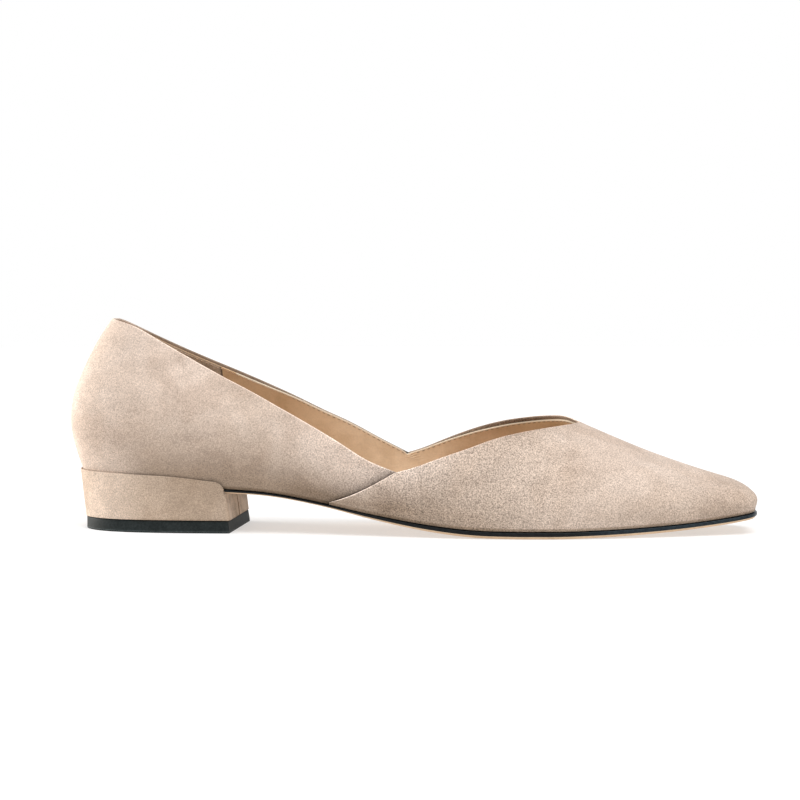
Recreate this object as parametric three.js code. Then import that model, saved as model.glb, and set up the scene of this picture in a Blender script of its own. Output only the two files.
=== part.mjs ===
// A low block heel court shoe for the right foot, in suede, with a squared toe and a V throat.
// Both sides of the upper dip to a notch at the waist, where the vamp laps over the quarter.
//
// The frame is in millimetres. +X runs from the heel to the toe, +Y towards the inner (medial)
// side of the foot and +Z up. The origin lies on the floor, under the middle of the shoe.
//
// Each piece is a loft. A ring of stations runs round the feather line, which is the edge where
// upper and sole meet: from the back of the heel along the outer side to the toe, and back
// along the inner side. Station 0 is the heel's back, and station TIP the middle of the toe.
import * as THREE from "three";

// Driving sizes of the last and the sole
const featherLength = 256.4; // along the feather line, from the heel's back to the toe
const ballWidth = 75.6; // the sole's width over the ball of the foot
const soleThickness = 2.4; // at the ball
const heelRise = 16.5; // how far the feather line climbs from the ball to the heel's back
const toeSpring = 5.4; // how far it climbs from the ball to the toe

// Driving sizes of the upper
const wall = 1.6; // suede and lining together
const collarHeight = 61.5; // the collar's back above the feather line there
const collarLean = 11.7; // how far the collar's back stands ahead of the feather's back
const throatAt = 0.742; // share of the feather length at which the V throat has its point
const throatHeight = 38.4; // the V's point above the feather line at the ball
const notchAt = 0.48; // share of the feather length at which both sides dip lowest
const outerDip = 21.25; // the outer side's notch above the feather line at the ball
const innerDip = 24.8; // the inner side's notch, which is a little higher
const lapFootAt = 0.381; // share of the feather length at which the lap's edge meets the sole
const lapSag = 0.033; // how far the lap's edge bends forwards halfway up, as a share of its lean
const lapRise = 0.7; // the vamp's edge above the quarter that it laps
const lapFade = 1.5; // stations over which the lap's thickness sinks away forwards
const foreBulge = 3.2; // how far the wall swells outwards over the ball
const quarterBulge = 5.4; // the same at the heel's back
const quarterEnd = 0.19; // share of the feather length at which the quarter's section gives way
const vampStart = 0.55; // share at which the vamp's section has taken over
const marginWidth = 9; // lasting margin turned in under the insole
const featherRadius = 0.9; // rounding of the upper where it turns under
const toeSet = 12; // the crest of the vamp ends this far behind the toe
const heelSet = 22; // the spine of the heel seat starts this far ahead of its back

// Driving sizes of heel, top lift and insole
const gap = 0.3; // clearance between touching pieces
const liftThickness = 4.5;
const heelTopAt = 0.2275; // share of the feather length at which the heel's breast meets the sole
const breastFlare = 1.5; // how far the breast slants forwards on its way down
const sideTaper = 0.7; // how far the heel's sides draw in from the feather line to the lift
const backTaper = 0.2; // the same at its back
const earRise = 3.6; // the heel's rim above the feather line, round its back
const earFall = 1.1; // how far the rim sinks towards its front corners
const earFallLength = 24; // the stretch behind the breast over which it sinks
const earRadius = 4.2; // rounding of the rim's front corners
const cornerRadius = 1.5; // rounding between the heel's sides and its breast
const liftCorner = 0.5; // the same on the lift, which is cut sharper
const liftLead = 0.2; // how far the lift's breast stands ahead of the cover's foot
const liftSlant = 0.7; // how far the lift's breast leans back on its way up
const liftTurn = 0.4; // how far its inner end stands ahead of its outer end
const lipThickness = 0.6; // the rim's edge
const liftInset = 0.35; // the lift's edge behind the heel's cover
const edgeChamfer = 0.3; // the lift's lower edge
const insoleThickness = 2.4;
const blackEdge = 0.62; // the upper share of the sole's edge, before its bevel
const bevelWidth = 1.1; // the bevel under it
const toeEdge = 0.7; // how far the sole's edge stands out ahead of the feather line at the toe
const toeEdgeFrom = 0.9; // share of the feather length at which it starts to
const waistCamber = 0.8; // how far the sole's underside swells down in the waist
const camberInset = 14; // the swollen part's edge behind the sole's edge

// Sections of the last. at is a share of the feather length, outer, inner and crest are shares of
// the ball width, measured from the shoe's axis, and rise is a share of heelRise behind the ball
// and of toeSpring ahead of it. sole is a share of the sole's thickness, and round the exponent
// of the section over the vamp: 2 is an ellipse, and more is squarer. swell is a share of
// foreBulge.
const SECTIONS = [
  { at: 0.0, outer: 0.0, inner: 0.0, crest: 0.0, rise: 1.0, sole: 0.62, round: 2.0, swell: 0.0 },
  { at: 0.0062, outer: 0.116, inner: 0.114, crest: 0.0, rise: 0.997, sole: 0.62, round: 2.0, swell: 0.0 },
  { at: 0.0238, outer: 0.212, inner: 0.208, crest: 0.0, rise: 0.988, sole: 0.62, round: 2.0, swell: 0.0 },
  { at: 0.0535, outer: 0.286, inner: 0.281, crest: 0.0, rise: 0.972, sole: 0.62, round: 2.0, swell: 0.0 },
  { at: 0.096, outer: 0.331, inner: 0.325, crest: 0.0, rise: 0.95, sole: 0.62, round: 2.0, swell: 0.0 },
  { at: 0.153, outer: 0.35, inner: 0.345, crest: 0.004, rise: 0.91, sole: 0.62, round: 2.0, swell: 0.0 },
  { at: 0.223, outer: 0.352, inner: 0.334, crest: 0.01, rise: 0.852, sole: 0.52, round: 2.0, swell: 0.0 },
  { at: 0.293, outer: 0.344, inner: 0.3, crest: 0.018, rise: 0.765, sole: 0.44, round: 2.0, swell: 0.0 },
  { at: 0.367, outer: 0.37, inner: 0.286, crest: 0.028, rise: 0.57, sole: 0.46, round: 2.0, swell: 0.5 },
  { at: 0.442, outer: 0.414, inner: 0.306, crest: 0.038, rise: 0.33, sole: 0.66, round: 2.0, swell: 0.8 },
  { at: 0.516, outer: 0.461, inner: 0.362, crest: 0.048, rise: 0.135, sole: 0.85, round: 1.95, swell: 1.0 },
  { at: 0.586, outer: 0.5, inner: 0.424, crest: 0.056, rise: 0.025, sole: 0.97, round: 1.9, swell: 1.0 },
  { at: 0.652, outer: 0.513, inner: 0.469, crest: 0.06, rise: 0.0, sole: 1.0, round: 1.9, swell: 1.0 },
  { at: 0.714, outer: 0.496, inner: 0.487, crest: 0.06, rise: 0.0, sole: 1.0, round: 1.9, swell: 0.95 },
  { at: 0.777, outer: 0.449, inner: 0.471, crest: 0.056, rise: 0.07, sole: 0.97, round: 1.95, swell: 0.85 },
  { at: 0.839, outer: 0.384, inner: 0.428, crest: 0.051, rise: 0.2, sole: 0.93, round: 2.05, swell: 0.75 },
  { at: 0.894, outer: 0.317, inner: 0.372, crest: 0.045, rise: 0.38, sole: 0.89, round: 2.2, swell: 0.65 },
  { at: 0.941, outer: 0.252, inner: 0.311, crest: 0.04, rise: 0.6, sole: 0.86, round: 2.4, swell: 0.55 },
  { at: 0.972, outer: 0.206, inner: 0.265, crest: 0.036, rise: 0.79, sole: 0.84, round: 2.6, swell: 0.5 },
  { at: 0.9895, outer: 0.171, inner: 0.23, crest: 0.034, rise: 0.92, sole: 0.83, round: 2.8, swell: 0.45 },
  { at: 0.9985, outer: 0.108, inner: 0.168, crest: 0.034, rise: 0.985, sole: 0.83, round: 3.0, swell: 0.4 },
  { at: 1.0, outer: -0.034, inner: 0.034, crest: 0.034, rise: 1.0, sole: 0.83, round: 3.0, swell: 0.4 },
];
const TIP = SECTIONS.length - 1;
const BALL_AT = 0.683; // share of the feather length at which the last's bottom is lowest

// The crest is the last's top line, seen from the side. It shows ahead of the throat only, and
// behind it the foot fills it. height is a share of throatHeight above the ball's feather line.
const CREST = [
  { at: 0.0, height: 2.6 },
  { at: 0.25, height: 2.34 },
  { at: 0.37, height: 2.07 },
  { at: 0.49, height: 1.78 },
  { at: 0.568, height: 1.53 },
  { at: 0.646, height: 1.3 },
  { at: 0.705, height: 1.127 },
  { at: 0.742, height: 1.0 },
  { at: 0.776, height: 0.9 },
  { at: 0.811, height: 0.801 },
  { at: 0.847, height: 0.705 },
  { at: 0.882, height: 0.622 },
  { at: 0.917, height: 0.544 },
  { at: 0.953, height: 0.471 },
];

// The quarter's wall seen in section. height is a share of collarHeight above the feather line,
// and the columns say how far the wall stands outside that line, as shares of quarterBulge at
// the heel's back and on its sides, and in the waist.
const WALL = [
  { height: 0.0, back: 0.0, side: 0.0, waist: 0.0 },
  { height: 0.065, back: 0.25, side: 0.2, waist: 0.16 },
  { height: 0.15, back: 0.58, side: 0.4, waist: 0.28 },
  { height: 0.27, back: 0.94, side: 0.5, waist: 0.28 },
  { height: 0.38, back: 1.01, side: 0.42, waist: 0.14 },
  { height: 0.5, back: 0.83, side: 0.16, waist: -0.14 },
  { height: 0.62, back: 0.33, side: -0.18, waist: -0.5 },
  { height: 0.74, back: -0.3, side: -0.58, waist: -0.95 },
  { height: 0.87, back: -1.12, side: -1.05, waist: -1.5 },
  { height: 1.0, back: -2.17, side: -1.6, waist: -2.1 },
  { height: 1.18, back: -4.1, side: -2.5, waist: -2.9 },
];

const WALL_TOP = 1.1; // the share of collarHeight that the wall's t = 1 stands for

// The topline seen from the side. along runs from one end of an arm to the other, and each
// column is the share of that arm's climb: from the notch back to the collar, and from the
// notch forwards to the throat.
const QUARTER_LINE = [
  { along: 0.0, outer: 1.0, inner: 1.0 },
  { along: 0.1, outer: 0.941, inner: 0.887 },
  { along: 0.2, outer: 0.838, inner: 0.786 },
  { along: 0.3, outer: 0.731, inner: 0.695 },
  { along: 0.4, outer: 0.625, inner: 0.609 },
  { along: 0.5, outer: 0.524, inner: 0.521 },
  { along: 0.6, outer: 0.415, inner: 0.428 },
  { along: 0.7, outer: 0.307, inner: 0.326 },
  { along: 0.8, outer: 0.194, inner: 0.229 },
  { along: 0.9, outer: 0.076, inner: 0.113 },
  { along: 1.0, outer: 0.0, inner: 0.0 },
];
const VAMP_LINE = [
  { along: 0.0, outer: 0.0, inner: 0.0 },
  { along: 0.1, outer: 0.112, inner: 0.162 },
  { along: 0.25, outer: 0.331, inner: 0.467 },
  { along: 0.4, outer: 0.537, inner: 0.739 },
  { along: 0.55, outer: 0.741, inner: 0.941 },
  { along: 0.7, outer: 0.867, inner: 1.065 },
  { along: 0.82, outer: 0.934, inner: 1.129 },
  { along: 0.92, outer: 0.974, inner: 1.133 },
  { along: 1.0, outer: 1.0, inner: 1.0 },
];

// How finely each stretch of the ring and of the wall is cut
const QUARTER_STEPS = 19;
const THROAT_STEPS = 17;
const TOE_STEPS = 13;
const WALL_ROWS = 11;
const CREST_EASE = 1.35; // draws the wall's rows down where it runs up to the crest
const HEEL_STEPS = 12;
const EAR_SHARES = [1, 0.8, 0.6, 0.42, 0.3, 0.18, 0.08, 0]; // places on the rim's front corner
const FACE_SHARES = [0, 0.3, 0.6, 0.85, 1]; // places up the heel's face

const ballFeather = soleThickness + gap; // the feather line's height above the floor at the ball
const throatX = throatAt * featherLength;
const notchX = notchAt * featherLength;
const clamp = (value, low, high) => Math.min(high, Math.max(low, value));
const mix = (a, b, share) => a + (b - a) * share;

function smoothstep(from, to, value) {
  const share = clamp((value - from) / (to - from), 0, 1);
  return share * share * (3 - 2 * share);
}

// Value of a column at row number u, by a Catmull-Rom curve that is level at both ends
function atRow(table, column, u) {
  const last = table.length - 1;
  const row = clamp(Math.floor(u), 0, last - 1);
  const s = u - row;
  const value = (i) => table[i < 0 ? -i : i > last ? 2 * last - i : i][column];
  const [a, b, c, d] = [value(row - 1), value(row), value(row + 1), value(row + 2)];
  return b + 0.5 * s * (c - a + s * (2 * a - 5 * b + 4 * c - d + s * (3 * (b - c) + d - a)));
}

// Value of a column where the key column has a given value, by a cubic through the rows whose
// slopes come from the rows on both sides
function atKey(table, key, column, where) {
  const last = table.length - 1;
  let row = 0;
  while (row < last - 1 && where > table[row + 1][key]) row += 1;
  const slope = (i) => {
    const [p, q] = [table[Math.max(i - 1, 0)], table[Math.min(i + 1, last)]];
    return (q[column] - p[column]) / (q[key] - p[key]);
  };
  const [p, q] = [table[row], table[row + 1]];
  const span = q[key] - p[key];
  const s = (where - p[key]) / span;
  if (s < 0) return p[column] + slope(row) * (where - p[key]);
  if (s > 1) return q[column] + slope(row + 1) * (where - q[key]);
  const h = s * s * (3 - 2 * s);
  const tangents = slope(row) * s * (1 - s) ** 2 - slope(row + 1) * s * s * (1 - s);
  return mix(p[column], q[column], h) + tangents * span;
}

// The feather line seen from above, as one closed curve through both sides of the table
const ringPoint = (row, side) =>
  new THREE.Vector3(
    SECTIONS[row].at * featherLength,
    (side > 0 ? SECTIONS[row].inner : -SECTIONS[row].outer) * ballWidth,
    0,
  );
const featherCurve = new THREE.CatmullRomCurve3(
  [
    ...SECTIONS.map((_, row) => ringPoint(row, -1)),
    ...SECTIONS.slice(1, -1).map((_, i) => ringPoint(TIP - 1 - i, 1)),
  ],
  true,
  "centripetal",
);

// A ring number counts rows from the heel's back: 0 to TIP on the outer side, 2 TIP to TIP on
// the inner one. These give the row that it stands at, and its side.
const wrap = (ring) => ((ring % (2 * TIP)) + 2 * TIP) % (2 * TIP);
const rowOf = (ring) => Math.min(wrap(ring), 2 * TIP - wrap(ring));
const sideOf = (ring) => (wrap(ring) > TIP ? 1 : -1);
const ringAt = (row, side) => (side > 0 ? 2 * TIP - row : row);

// Height of the feather line, which is also that of the whole bottom of the last at an x
function bottomHeight(x) {
  const climb = x < BALL_AT * featherLength ? heelRise : toeSpring;
  return ballFeather + climb * Math.max(0, atKey(SECTIONS, "at", "rise", x / featherLength));
}

// The spine is the line that sections turn about: it lies inside both ends of the feather line.
function spinePoint(row) {
  const x = atRow(SECTIONS, "at", row) * featherLength;
  const ahead = heelSet * (1 - smoothstep(0, 0.28 * featherLength, x));
  const behind = toeSet * smoothstep(0.72 * featherLength, featherLength, x);
  const point = new THREE.Vector3(x + ahead - behind, atRow(SECTIONS, "crest", row) * ballWidth, 0);
  point.z = bottomHeight(point.x);
  return point;
}

const crestHeight = (x) =>
  ballFeather + throatHeight * atKey(CREST, "at", "height", x / featherLength);

// The feather line's point at a ring number, and the way out from it, level and square to it
function featherPoint(ring) {
  const share = wrap(ring) / (2 * TIP);
  const point = featherCurve.getPoint(share);
  const step = 1e-4;
  const run = featherCurve
    .getPoint((share + step) % 1)
    .sub(featherCurve.getPoint((share - step + 1) % 1));
  const out = new THREE.Vector3(run.y, -run.x, 0).normalize();
  point.z = bottomHeight(point.x);
  return { point, out };
}

// A point moved in from the feather line, straight towards the spine, and raised
function insetPoint(ring, inset, raise) {
  const { point } = featherPoint(ring);
  const spine = spinePoint(rowOf(ring));
  const way = spine.clone().sub(point).setZ(0);
  const far = way.length();
  point.addScaledVector(way.normalize(), Math.min(inset, 0.8 * far));
  point.z = bottomHeight(point.x) + raise;
  return point;
}

// The quarter's wall: straight up from the feather line, and out by its profile
function quarterPoint(ring, t) {
  const { point, out } = featherPoint(ring);
  const height = t * WALL_TOP;
  const toWaist = smoothstep(quarterEnd, vampStart, point.x / featherLength);
  const profile = (column) => atKey(WALL, "height", column, height);
  const offset = mix(mix(profile("back"), profile("side"), out.y ** 2), profile("waist"), toWaist);
  point.addScaledVector(out, offset * quarterBulge);
  point.z += featherRadius + height * collarHeight;
  return point;
}

// The forepart's section: a superellipse from the feather line up and over to the crest
function forepartPoint(ring, t) {
  const { point, out } = featherPoint(ring);
  const row = rowOf(ring);
  const top = spinePoint(row);
  const power = 2 / atRow(SECTIONS, "round", row);
  const turn = (Math.PI / 2) * t;
  const across = 1 - (t < 1 ? Math.cos(turn) ** power : 0);
  const up = Math.sin(turn) ** power;
  const foot = point.z + featherRadius;
  point.lerp(top, across);
  const swell = (27 / 4) * t * (1 - t) ** 2; // it is 1 at its fullest, a third of the way up
  point.addScaledVector(out, foreBulge * atRow(SECTIONS, "swell", row) * swell);
  const slope = crestHeight(top.x + 0.5) - crestHeight(top.x - 0.5);
  const target = crestHeight(top.x) + slope * (point.x - top.x);
  point.z = foot + (target - foot) * up;
  return point;
}

// The last's surface. t runs from 0 at the feather line to 1 on the crest.
function lastPoint(ring, t) {
  const share = smoothstep(quarterEnd, vampStart, atRow(SECTIONS, "at", rowOf(ring)));
  if (share <= 0) return quarterPoint(ring, t);
  const fore = forepartPoint(ring, t);
  return share >= 1 ? fore : quarterPoint(ring, t).lerp(fore, share);
}

function lastNormal(ring, t) {
  const step = 1e-3;
  if (t > 1 - step) {
    const x = spinePoint(rowOf(ring)).x;
    const slope = crestHeight(x + 0.5) - crestHeight(x - 0.5);
    return new THREE.Vector3(-slope, 0, 1).normalize();
  }
  const along = lastPoint(ring + step, t).sub(lastPoint(ring - step, t));
  const up = lastPoint(ring, Math.min(1, t + step)).sub(lastPoint(ring, Math.max(0, t - step)));
  return along.cross(up).normalize();
}

// Height of the topline over a point of one side, seen from the side
function toplineHeight(x, side) {
  const column = side > 0 ? "inner" : "outer";
  const notch = ballFeather + (side > 0 ? innerDip : outerDip);
  if (x < notchX) {
    const collar = ballFeather + heelRise + collarHeight;
    const along = clamp((x - collarLean) / (notchX - collarLean), 0, 1);
    return mix(notch, collar, atKey(QUARTER_LINE, "along", column, along));
  }
  const along = clamp((x - notchX) / (throatX - notchX), 0, 1);
  return mix(notch, crestHeight(throatX), atKey(VAMP_LINE, "along", column, along));
}

// The t at which the wall over a ring number meets the topline, found by halving
function toplineT(ring) {
  if (spinePoint(rowOf(ring)).x >= throatX) return 1;
  let [low, high] = [0, 1];
  for (let i = 0; i < 30; i += 1) {
    const middle = (low + high) / 2;
    const point = lastPoint(ring, middle);
    if (point.z < toplineHeight(point.x, sideOf(ring))) low = middle;
    else high = middle;
  }
  return (low + high) / 2;
}

// The row whose value by a rising measure is the one wanted, found by halving
function rowWhere(measure, wanted) {
  let [low, high] = [0, TIP];
  for (let i = 0; i < 40; i += 1) {
    const middle = (low + high) / 2;
    if (measure(middle) < wanted) low = middle;
    else high = middle;
  }
  return (low + high) / 2;
}

// Collects welded vertices and faces, and gives a geometry whose faces point out
class Skin {
  constructor() {
    this.keys = new Map();
    this.positions = [];
    this.faces = [];
  }

  vertex(point) {
    const key = [point.x, point.y, point.z].map((v) => Math.round(v * 1e4)).join();
    if (!this.keys.has(key)) {
      this.keys.set(key, this.positions.length / 3);
      this.positions.push(point.x, point.y, point.z);
    }
    return this.keys.get(key);
  }

  triangle(a, b, c) {
    if (a !== b && b !== c && c !== a) this.faces.push(a, b, c);
  }

  // Quads between two closed rows of vertices
  strip(below, above) {
    for (let i = 0; i < below.length; i += 1) {
      const j = (i + 1) % below.length;
      this.triangle(below[i], below[j], above[j]);
      this.triangle(below[i], above[j], above[i]);
    }
  }

  // Rungs across a ring: vertex i of one side is joined to vertex i of the other.
  ladder(loop, facingUp) {
    const count = loop.length;
    for (let i = 0; i < count / 2; i += 1) {
      const [a, b] = [loop[i], loop[i + 1]];
      const [c, d] = [loop[(count - i - 1) % count], loop[(count - i) % count]];
      if (facingUp) {
        this.triangle(a, b, c);
        this.triangle(a, c, d);
      } else {
        this.triangle(a, c, b);
        this.triangle(a, d, c);
      }
    }
  }

  geometry() {
    const geometry = new THREE.BufferGeometry();
    geometry.setAttribute("position", new THREE.Float32BufferAttribute(this.positions, 3));
    geometry.setIndex(this.faces);
    geometry.computeVertexNormals();
    return geometry;
  }
}

// A solid of stacked loops, from the lowest to the highest, closed by a ladder at both ends
function stackedLoops(loops) {
  const skin = new Skin();
  const rows = loops.map((loop) => loop.map((point) => skin.vertex(point)));
  rows.slice(1).forEach((row, i) => skin.strip(rows[i], row));
  skin.ladder(rows[0], false);
  skin.ladder(rows[rows.length - 1], true);
  return skin.geometry();
}

// Columns of the upper on one side: the row at which each starts on the feather line and the
// row at which it ends on the topline or crest. The lap's edge is a column, and so is the V's.
const lapFoot = rowWhere((row) => atRow(SECTIONS, "at", row), lapFootAt);
const lapTop = rowWhere((row) => spinePoint(row).x, notchX);
const throatRow = rowWhere((row) => spinePoint(row).x, throatX);
const STRETCHES = [
  { fromFoot: 0, fromTop: 0, foot: lapFoot, top: lapTop, steps: QUARTER_STEPS, ease: 1 },
  {
    fromFoot: lapFoot,
    fromTop: lapTop,
    foot: throatRow,
    top: throatRow,
    steps: THROAT_STEPS,
    ease: 1.7,
  },
  { fromFoot: throatRow, fromTop: throatRow, foot: TIP, top: TIP, steps: TOE_STEPS, ease: 1 },
];

function upperColumns() {
  const columns = [];
  STRETCHES.forEach((stretch, part) => {
    for (let i = part === 0 ? 0 : 1; i <= stretch.steps; i += 1) {
      const share = 1 - (1 - i / stretch.steps) ** stretch.ease;
      columns.push({
        foot: mix(stretch.fromFoot, stretch.foot, share),
        top: mix(stretch.fromTop, stretch.top, share),
        sag: lapSag * (lapTop - lapFoot) * [share, 1 - share, 0][part] ** 2,
        lapped: part > 0,
        open: part < 2,
      });
    }
    if (part === 0) columns.push({ ...columns[columns.length - 1], lapped: true });
  });
  return columns;
}

// The upper: an open shell whose wall turns in under the insole. Its outer skin runs from the
// margin's edge up to the topline, and its inner skin back down.
function upperGeometry() {
  const oneSide = upperColumns();
  const ring = [
    ...oneSide.map((column) => ({ ...column, side: -1 })),
    ...oneSide.slice(1, -1).reverse().map((column) => ({ ...column, side: 1 })),
  ];
  ring.forEach((column) => {
    column.cut = toplineT(ringAt(column.top, column.side));
  });
  const skin = new Skin();
  const row = (make) => ring.map((column) => skin.vertex(make(column)));
  const margin = (inset, raise) =>
    row((column) => insetPoint(ringAt(column.foot, column.side), inset, raise));
  const wallRow = (share, depth) =>
    row((column) => {
      const bend = column.sag * Math.sin(Math.PI * share);
      const where = ringAt(mix(column.foot, column.top, share) + bend, column.side);
      const t = column.cut * share ** mix(1, CREST_EASE, column.cut);
      const ahead = mix(column.foot - lapFoot, column.top - lapTop, share);
      const lap = column.lapped ? 1 - smoothstep(0, lapFade, ahead) : 0;
      const raised = lapRise * lap * smoothstep(0, 0.2, share);
      const shift = depth > 0 ? -depth : raised;
      return lastPoint(where, t).addScaledVector(lastNormal(where, t), shift);
    });
  const shares = Array.from({ length: WALL_ROWS + 1 }, (_, i) => i / WALL_ROWS);
  const outer = [
    margin(marginWidth, 0),
    margin(featherRadius, 0),
    margin(featherRadius * 0.3, featherRadius * 0.3),
    ...shares.map((share) => wallRow(share, 0)),
  ];
  const inner = [
    ...shares.slice(1).reverse().map((share) => wallRow(share, wall)),
    margin(wall + gap, wall + gap),
    margin(wall + 4 * gap, wall),
    margin(marginWidth, wall),
  ];
  outer.slice(1).forEach((above, i) => skin.strip(outer[i], above));
  inner.slice(1).forEach((below, i) => skin.strip(inner[i], below));
  skin.strip(inner[inner.length - 1], outer[0]);
  const [rimOut, rimIn] = [outer[outer.length - 1], inner[0]];
  ring.forEach((column, i) => {
    const j = (i + 1) % ring.length;
    if (!column.open || !ring[j].open) return;
    skin.triangle(rimOut[i], rimOut[j], rimIn[j]);
    skin.triangle(rimOut[i], rimIn[j], rimIn[i]);
  });
  return skin.geometry();
}

// Ring numbers shared by insole and outsole, as many between two rows at either end
const SOLE_RING = Array.from({ length: 4 * TIP }, (_, i) => i / 2);

function insoleGeometry() {
  const edge = wall + 2 * gap;
  const low = wall + gap;
  const loop = (inset, raise) => SOLE_RING.map((ring) => insetPoint(ring, edge + inset, raise));
  return stackedLoops([
    loop(gap, low),
    loop(0, low + gap),
    loop(0, low + insoleThickness - 2 * gap),
    loop(2 * gap, low + insoleThickness),
  ]);
}

// A loop of the sole. depth is a share of its thickness, and camber swells the waist down. The
// underside rises with the feather line, and is flat where it meets the floor.
function soleLoop(inset, depth, camber) {
  return SOLE_RING.map((ring) => {
    const row = rowOf(ring);
    const thickness = soleThickness * atRow(SECTIONS, "sole", row);
    const inWaist = clamp((atRow(SECTIONS, "at", row) - quarterEnd) / (vampStart - quarterEnd), 0, 1);
    const drop = gap + thickness * depth + camber * Math.sin(Math.PI * inWaist) ** 2;
    const out = toeEdge * smoothstep(toeEdgeFrom, 1, atRow(SECTIONS, "at", row));
    const point = insetPoint(ring, inset - out, -drop);
    point.z = Math.max(0, point.z);
    return point;
  });
}

function outsoleGeometry() {
  return stackedLoops([
    soleLoop(camberInset, 1, waistCamber),
    soleLoop(bevelWidth, 1, 0),
    soleLoop(gap, blackEdge, 0),
    soleLoop(0, blackEdge * 0.85, 0),
    soleLoop(0, 0.12, 0),
    soleLoop(gap, 0, 0),
  ]);
}

// The heel follows the feather line round its back and has a flat breast across its front.
const breastX = heelTopAt * featherLength;
const rowAtX = (x) => rowWhere((row) => atRow(SECTIONS, "at", row), x / featherLength);

// Height of the heel's seat under the outsole
const seatHeight = (row) =>
  featherPoint(row).point.z - 2 * gap - soleThickness * atRow(SECTIONS, "sole", row);

// Height of the rim, whose front corners round down to the seat. behind is the way to the breast.
function rimHeight(row, behind) {
  const ear = earRise - earFall * smoothstep(earFallLength, 0, behind);
  const rise = featherPoint(row).point.z + ear - seatHeight(row);
  const corner = 1 - clamp(behind / earRadius, 0, 1);
  return seatHeight(row) + rise * Math.sqrt(1 - corner ** 2);
}

// How far the rim's inner edge stands outside the feather line, clear of the upper's wall
function rimReach(ring, row, behind) {
  const { point, out } = featherPoint(ring);
  const above = rimHeight(row, behind) - point.z - featherRadius;
  const t = Math.max(0, above) / (WALL_TOP * collarHeight);
  return lastPoint(ring, t).sub(point).dot(out) + gap;
}

// A loop round the heel. place gives the height of a point and how far it stands outside the
// feather line. breast is the x of the front face, whose corners place may round off, and turn
// how far its inner end stands ahead of its outer end.
function heelLoop(breast, place, turn = 0) {
  const side = (sign) => {
    const front = breast + (sign * turn) / 2;
    const straight = rowAtX(front - earRadius);
    const stations = [
      ...Array.from({ length: HEEL_STEPS }, (_, i) => (straight * i) / HEEL_STEPS),
      ...EAR_SHARES.map((share) => rowAtX(front - share * earRadius)),
    ];
    return stations.map((row, i) => {
      const ring = ringAt(row, sign);
      const behind = Math.max(0, front - atRow(SECTIONS, "at", row) * featherLength);
      const { point, out } = featherPoint(ring);
      const { height, reach, rounding } = place(ring, row, behind);
      const corner = 1 - clamp(behind / cornerRadius, 0, 1);
      const drawn = rounding * (1 - Math.sqrt(1 - corner ** 2));
      point.addScaledVector(out, reach - drawn);
      point.z = height;
      if (i === stations.length - 1) point.x = front;
      return point;
    });
  };
  return [...side(-1), ...side(1).slice(1).reverse()];
}

// How far the heel's foot is drawn in from the feather line
const taperAt = (ring) => mix(backTaper, sideTaper, featherPoint(ring).out.y ** 2);

// The heel's outer face leans out from its foot to the rim.
function heelFace(share) {
  return heelLoop(breastX + breastFlare * (1 - share), (ring, row, behind) => {
    const top = rimReach(ring, row, behind) + lipThickness;
    return {
      height: mix(liftThickness + gap, rimHeight(row, behind), share),
      reach: mix(-taperAt(ring), top, share),
      rounding: share < 1 ? cornerRadius : 0,
    };
  });
}

function heelGeometry() {
  const rimInside = heelLoop(breastX - gap, (ring, row, behind) => ({
    height: rimHeight(row, behind),
    reach: rimReach(ring, row, behind),
    rounding: 0,
  }));
  const seat = heelLoop(breastX - 2 * gap, (ring, row) => ({
    height: seatHeight(row),
    reach: gap,
    rounding: 0,
  }));
  return stackedLoops([...FACE_SHARES.map(heelFace), rimInside, seat]);
}

// The top lift: the heel's foot, a little smaller, with a chamfer round its tread
function liftGeometry() {
  const loop = (inset, height) => {
    const slant = liftSlant * (height / liftThickness);
    const place = (ring) => ({
      height,
      reach: -taperAt(ring) - liftInset - inset,
      rounding: liftCorner,
    });
    return heelLoop(breastX + breastFlare + liftLead - inset - slant, place, liftTurn);
  };
  return stackedLoops([loop(edgeChamfer, 0), loop(0, edgeChamfer), loop(0, liftThickness)]);
}

const suede = () =>
  new THREE.MeshStandardMaterial({ color: 0xc9b5a3, roughness: 0.95, metalness: 0 });
const PIECES = {
  upper: { make: upperGeometry, material: suede() },
  insole: {
    make: insoleGeometry,
    material: new THREE.MeshStandardMaterial({ color: 0xc8a27a, roughness: 0.6, metalness: 0 }),
  },
  outsole: {
    make: outsoleGeometry,
    material: new THREE.MeshStandardMaterial({ color: 0xc69c77, roughness: 0.55, metalness: 0 }),
  },
  heel_block: { make: heelGeometry, material: suede() },
  top_lift: {
    make: liftGeometry,
    material: new THREE.MeshStandardMaterial({ color: 0x26292a, roughness: 0.5, metalness: 0 }),
  },
};

// The pieces are made with the heel's back at x = 0, and the group then centres the shoe.
const shoe = new THREE.Group();
for (const [name, { make, material }] of Object.entries(PIECES)) {
  const mesh = new THREE.Mesh(make(), material);
  mesh.name = name;
  shoe.add(mesh);
}
const box = new THREE.Box3().setFromObject(shoe);
shoe.position.set(-(box.min.x + box.max.x) / 2, -(box.min.y + box.max.y) / 2, -box.min.z);

export default shoe;
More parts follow.
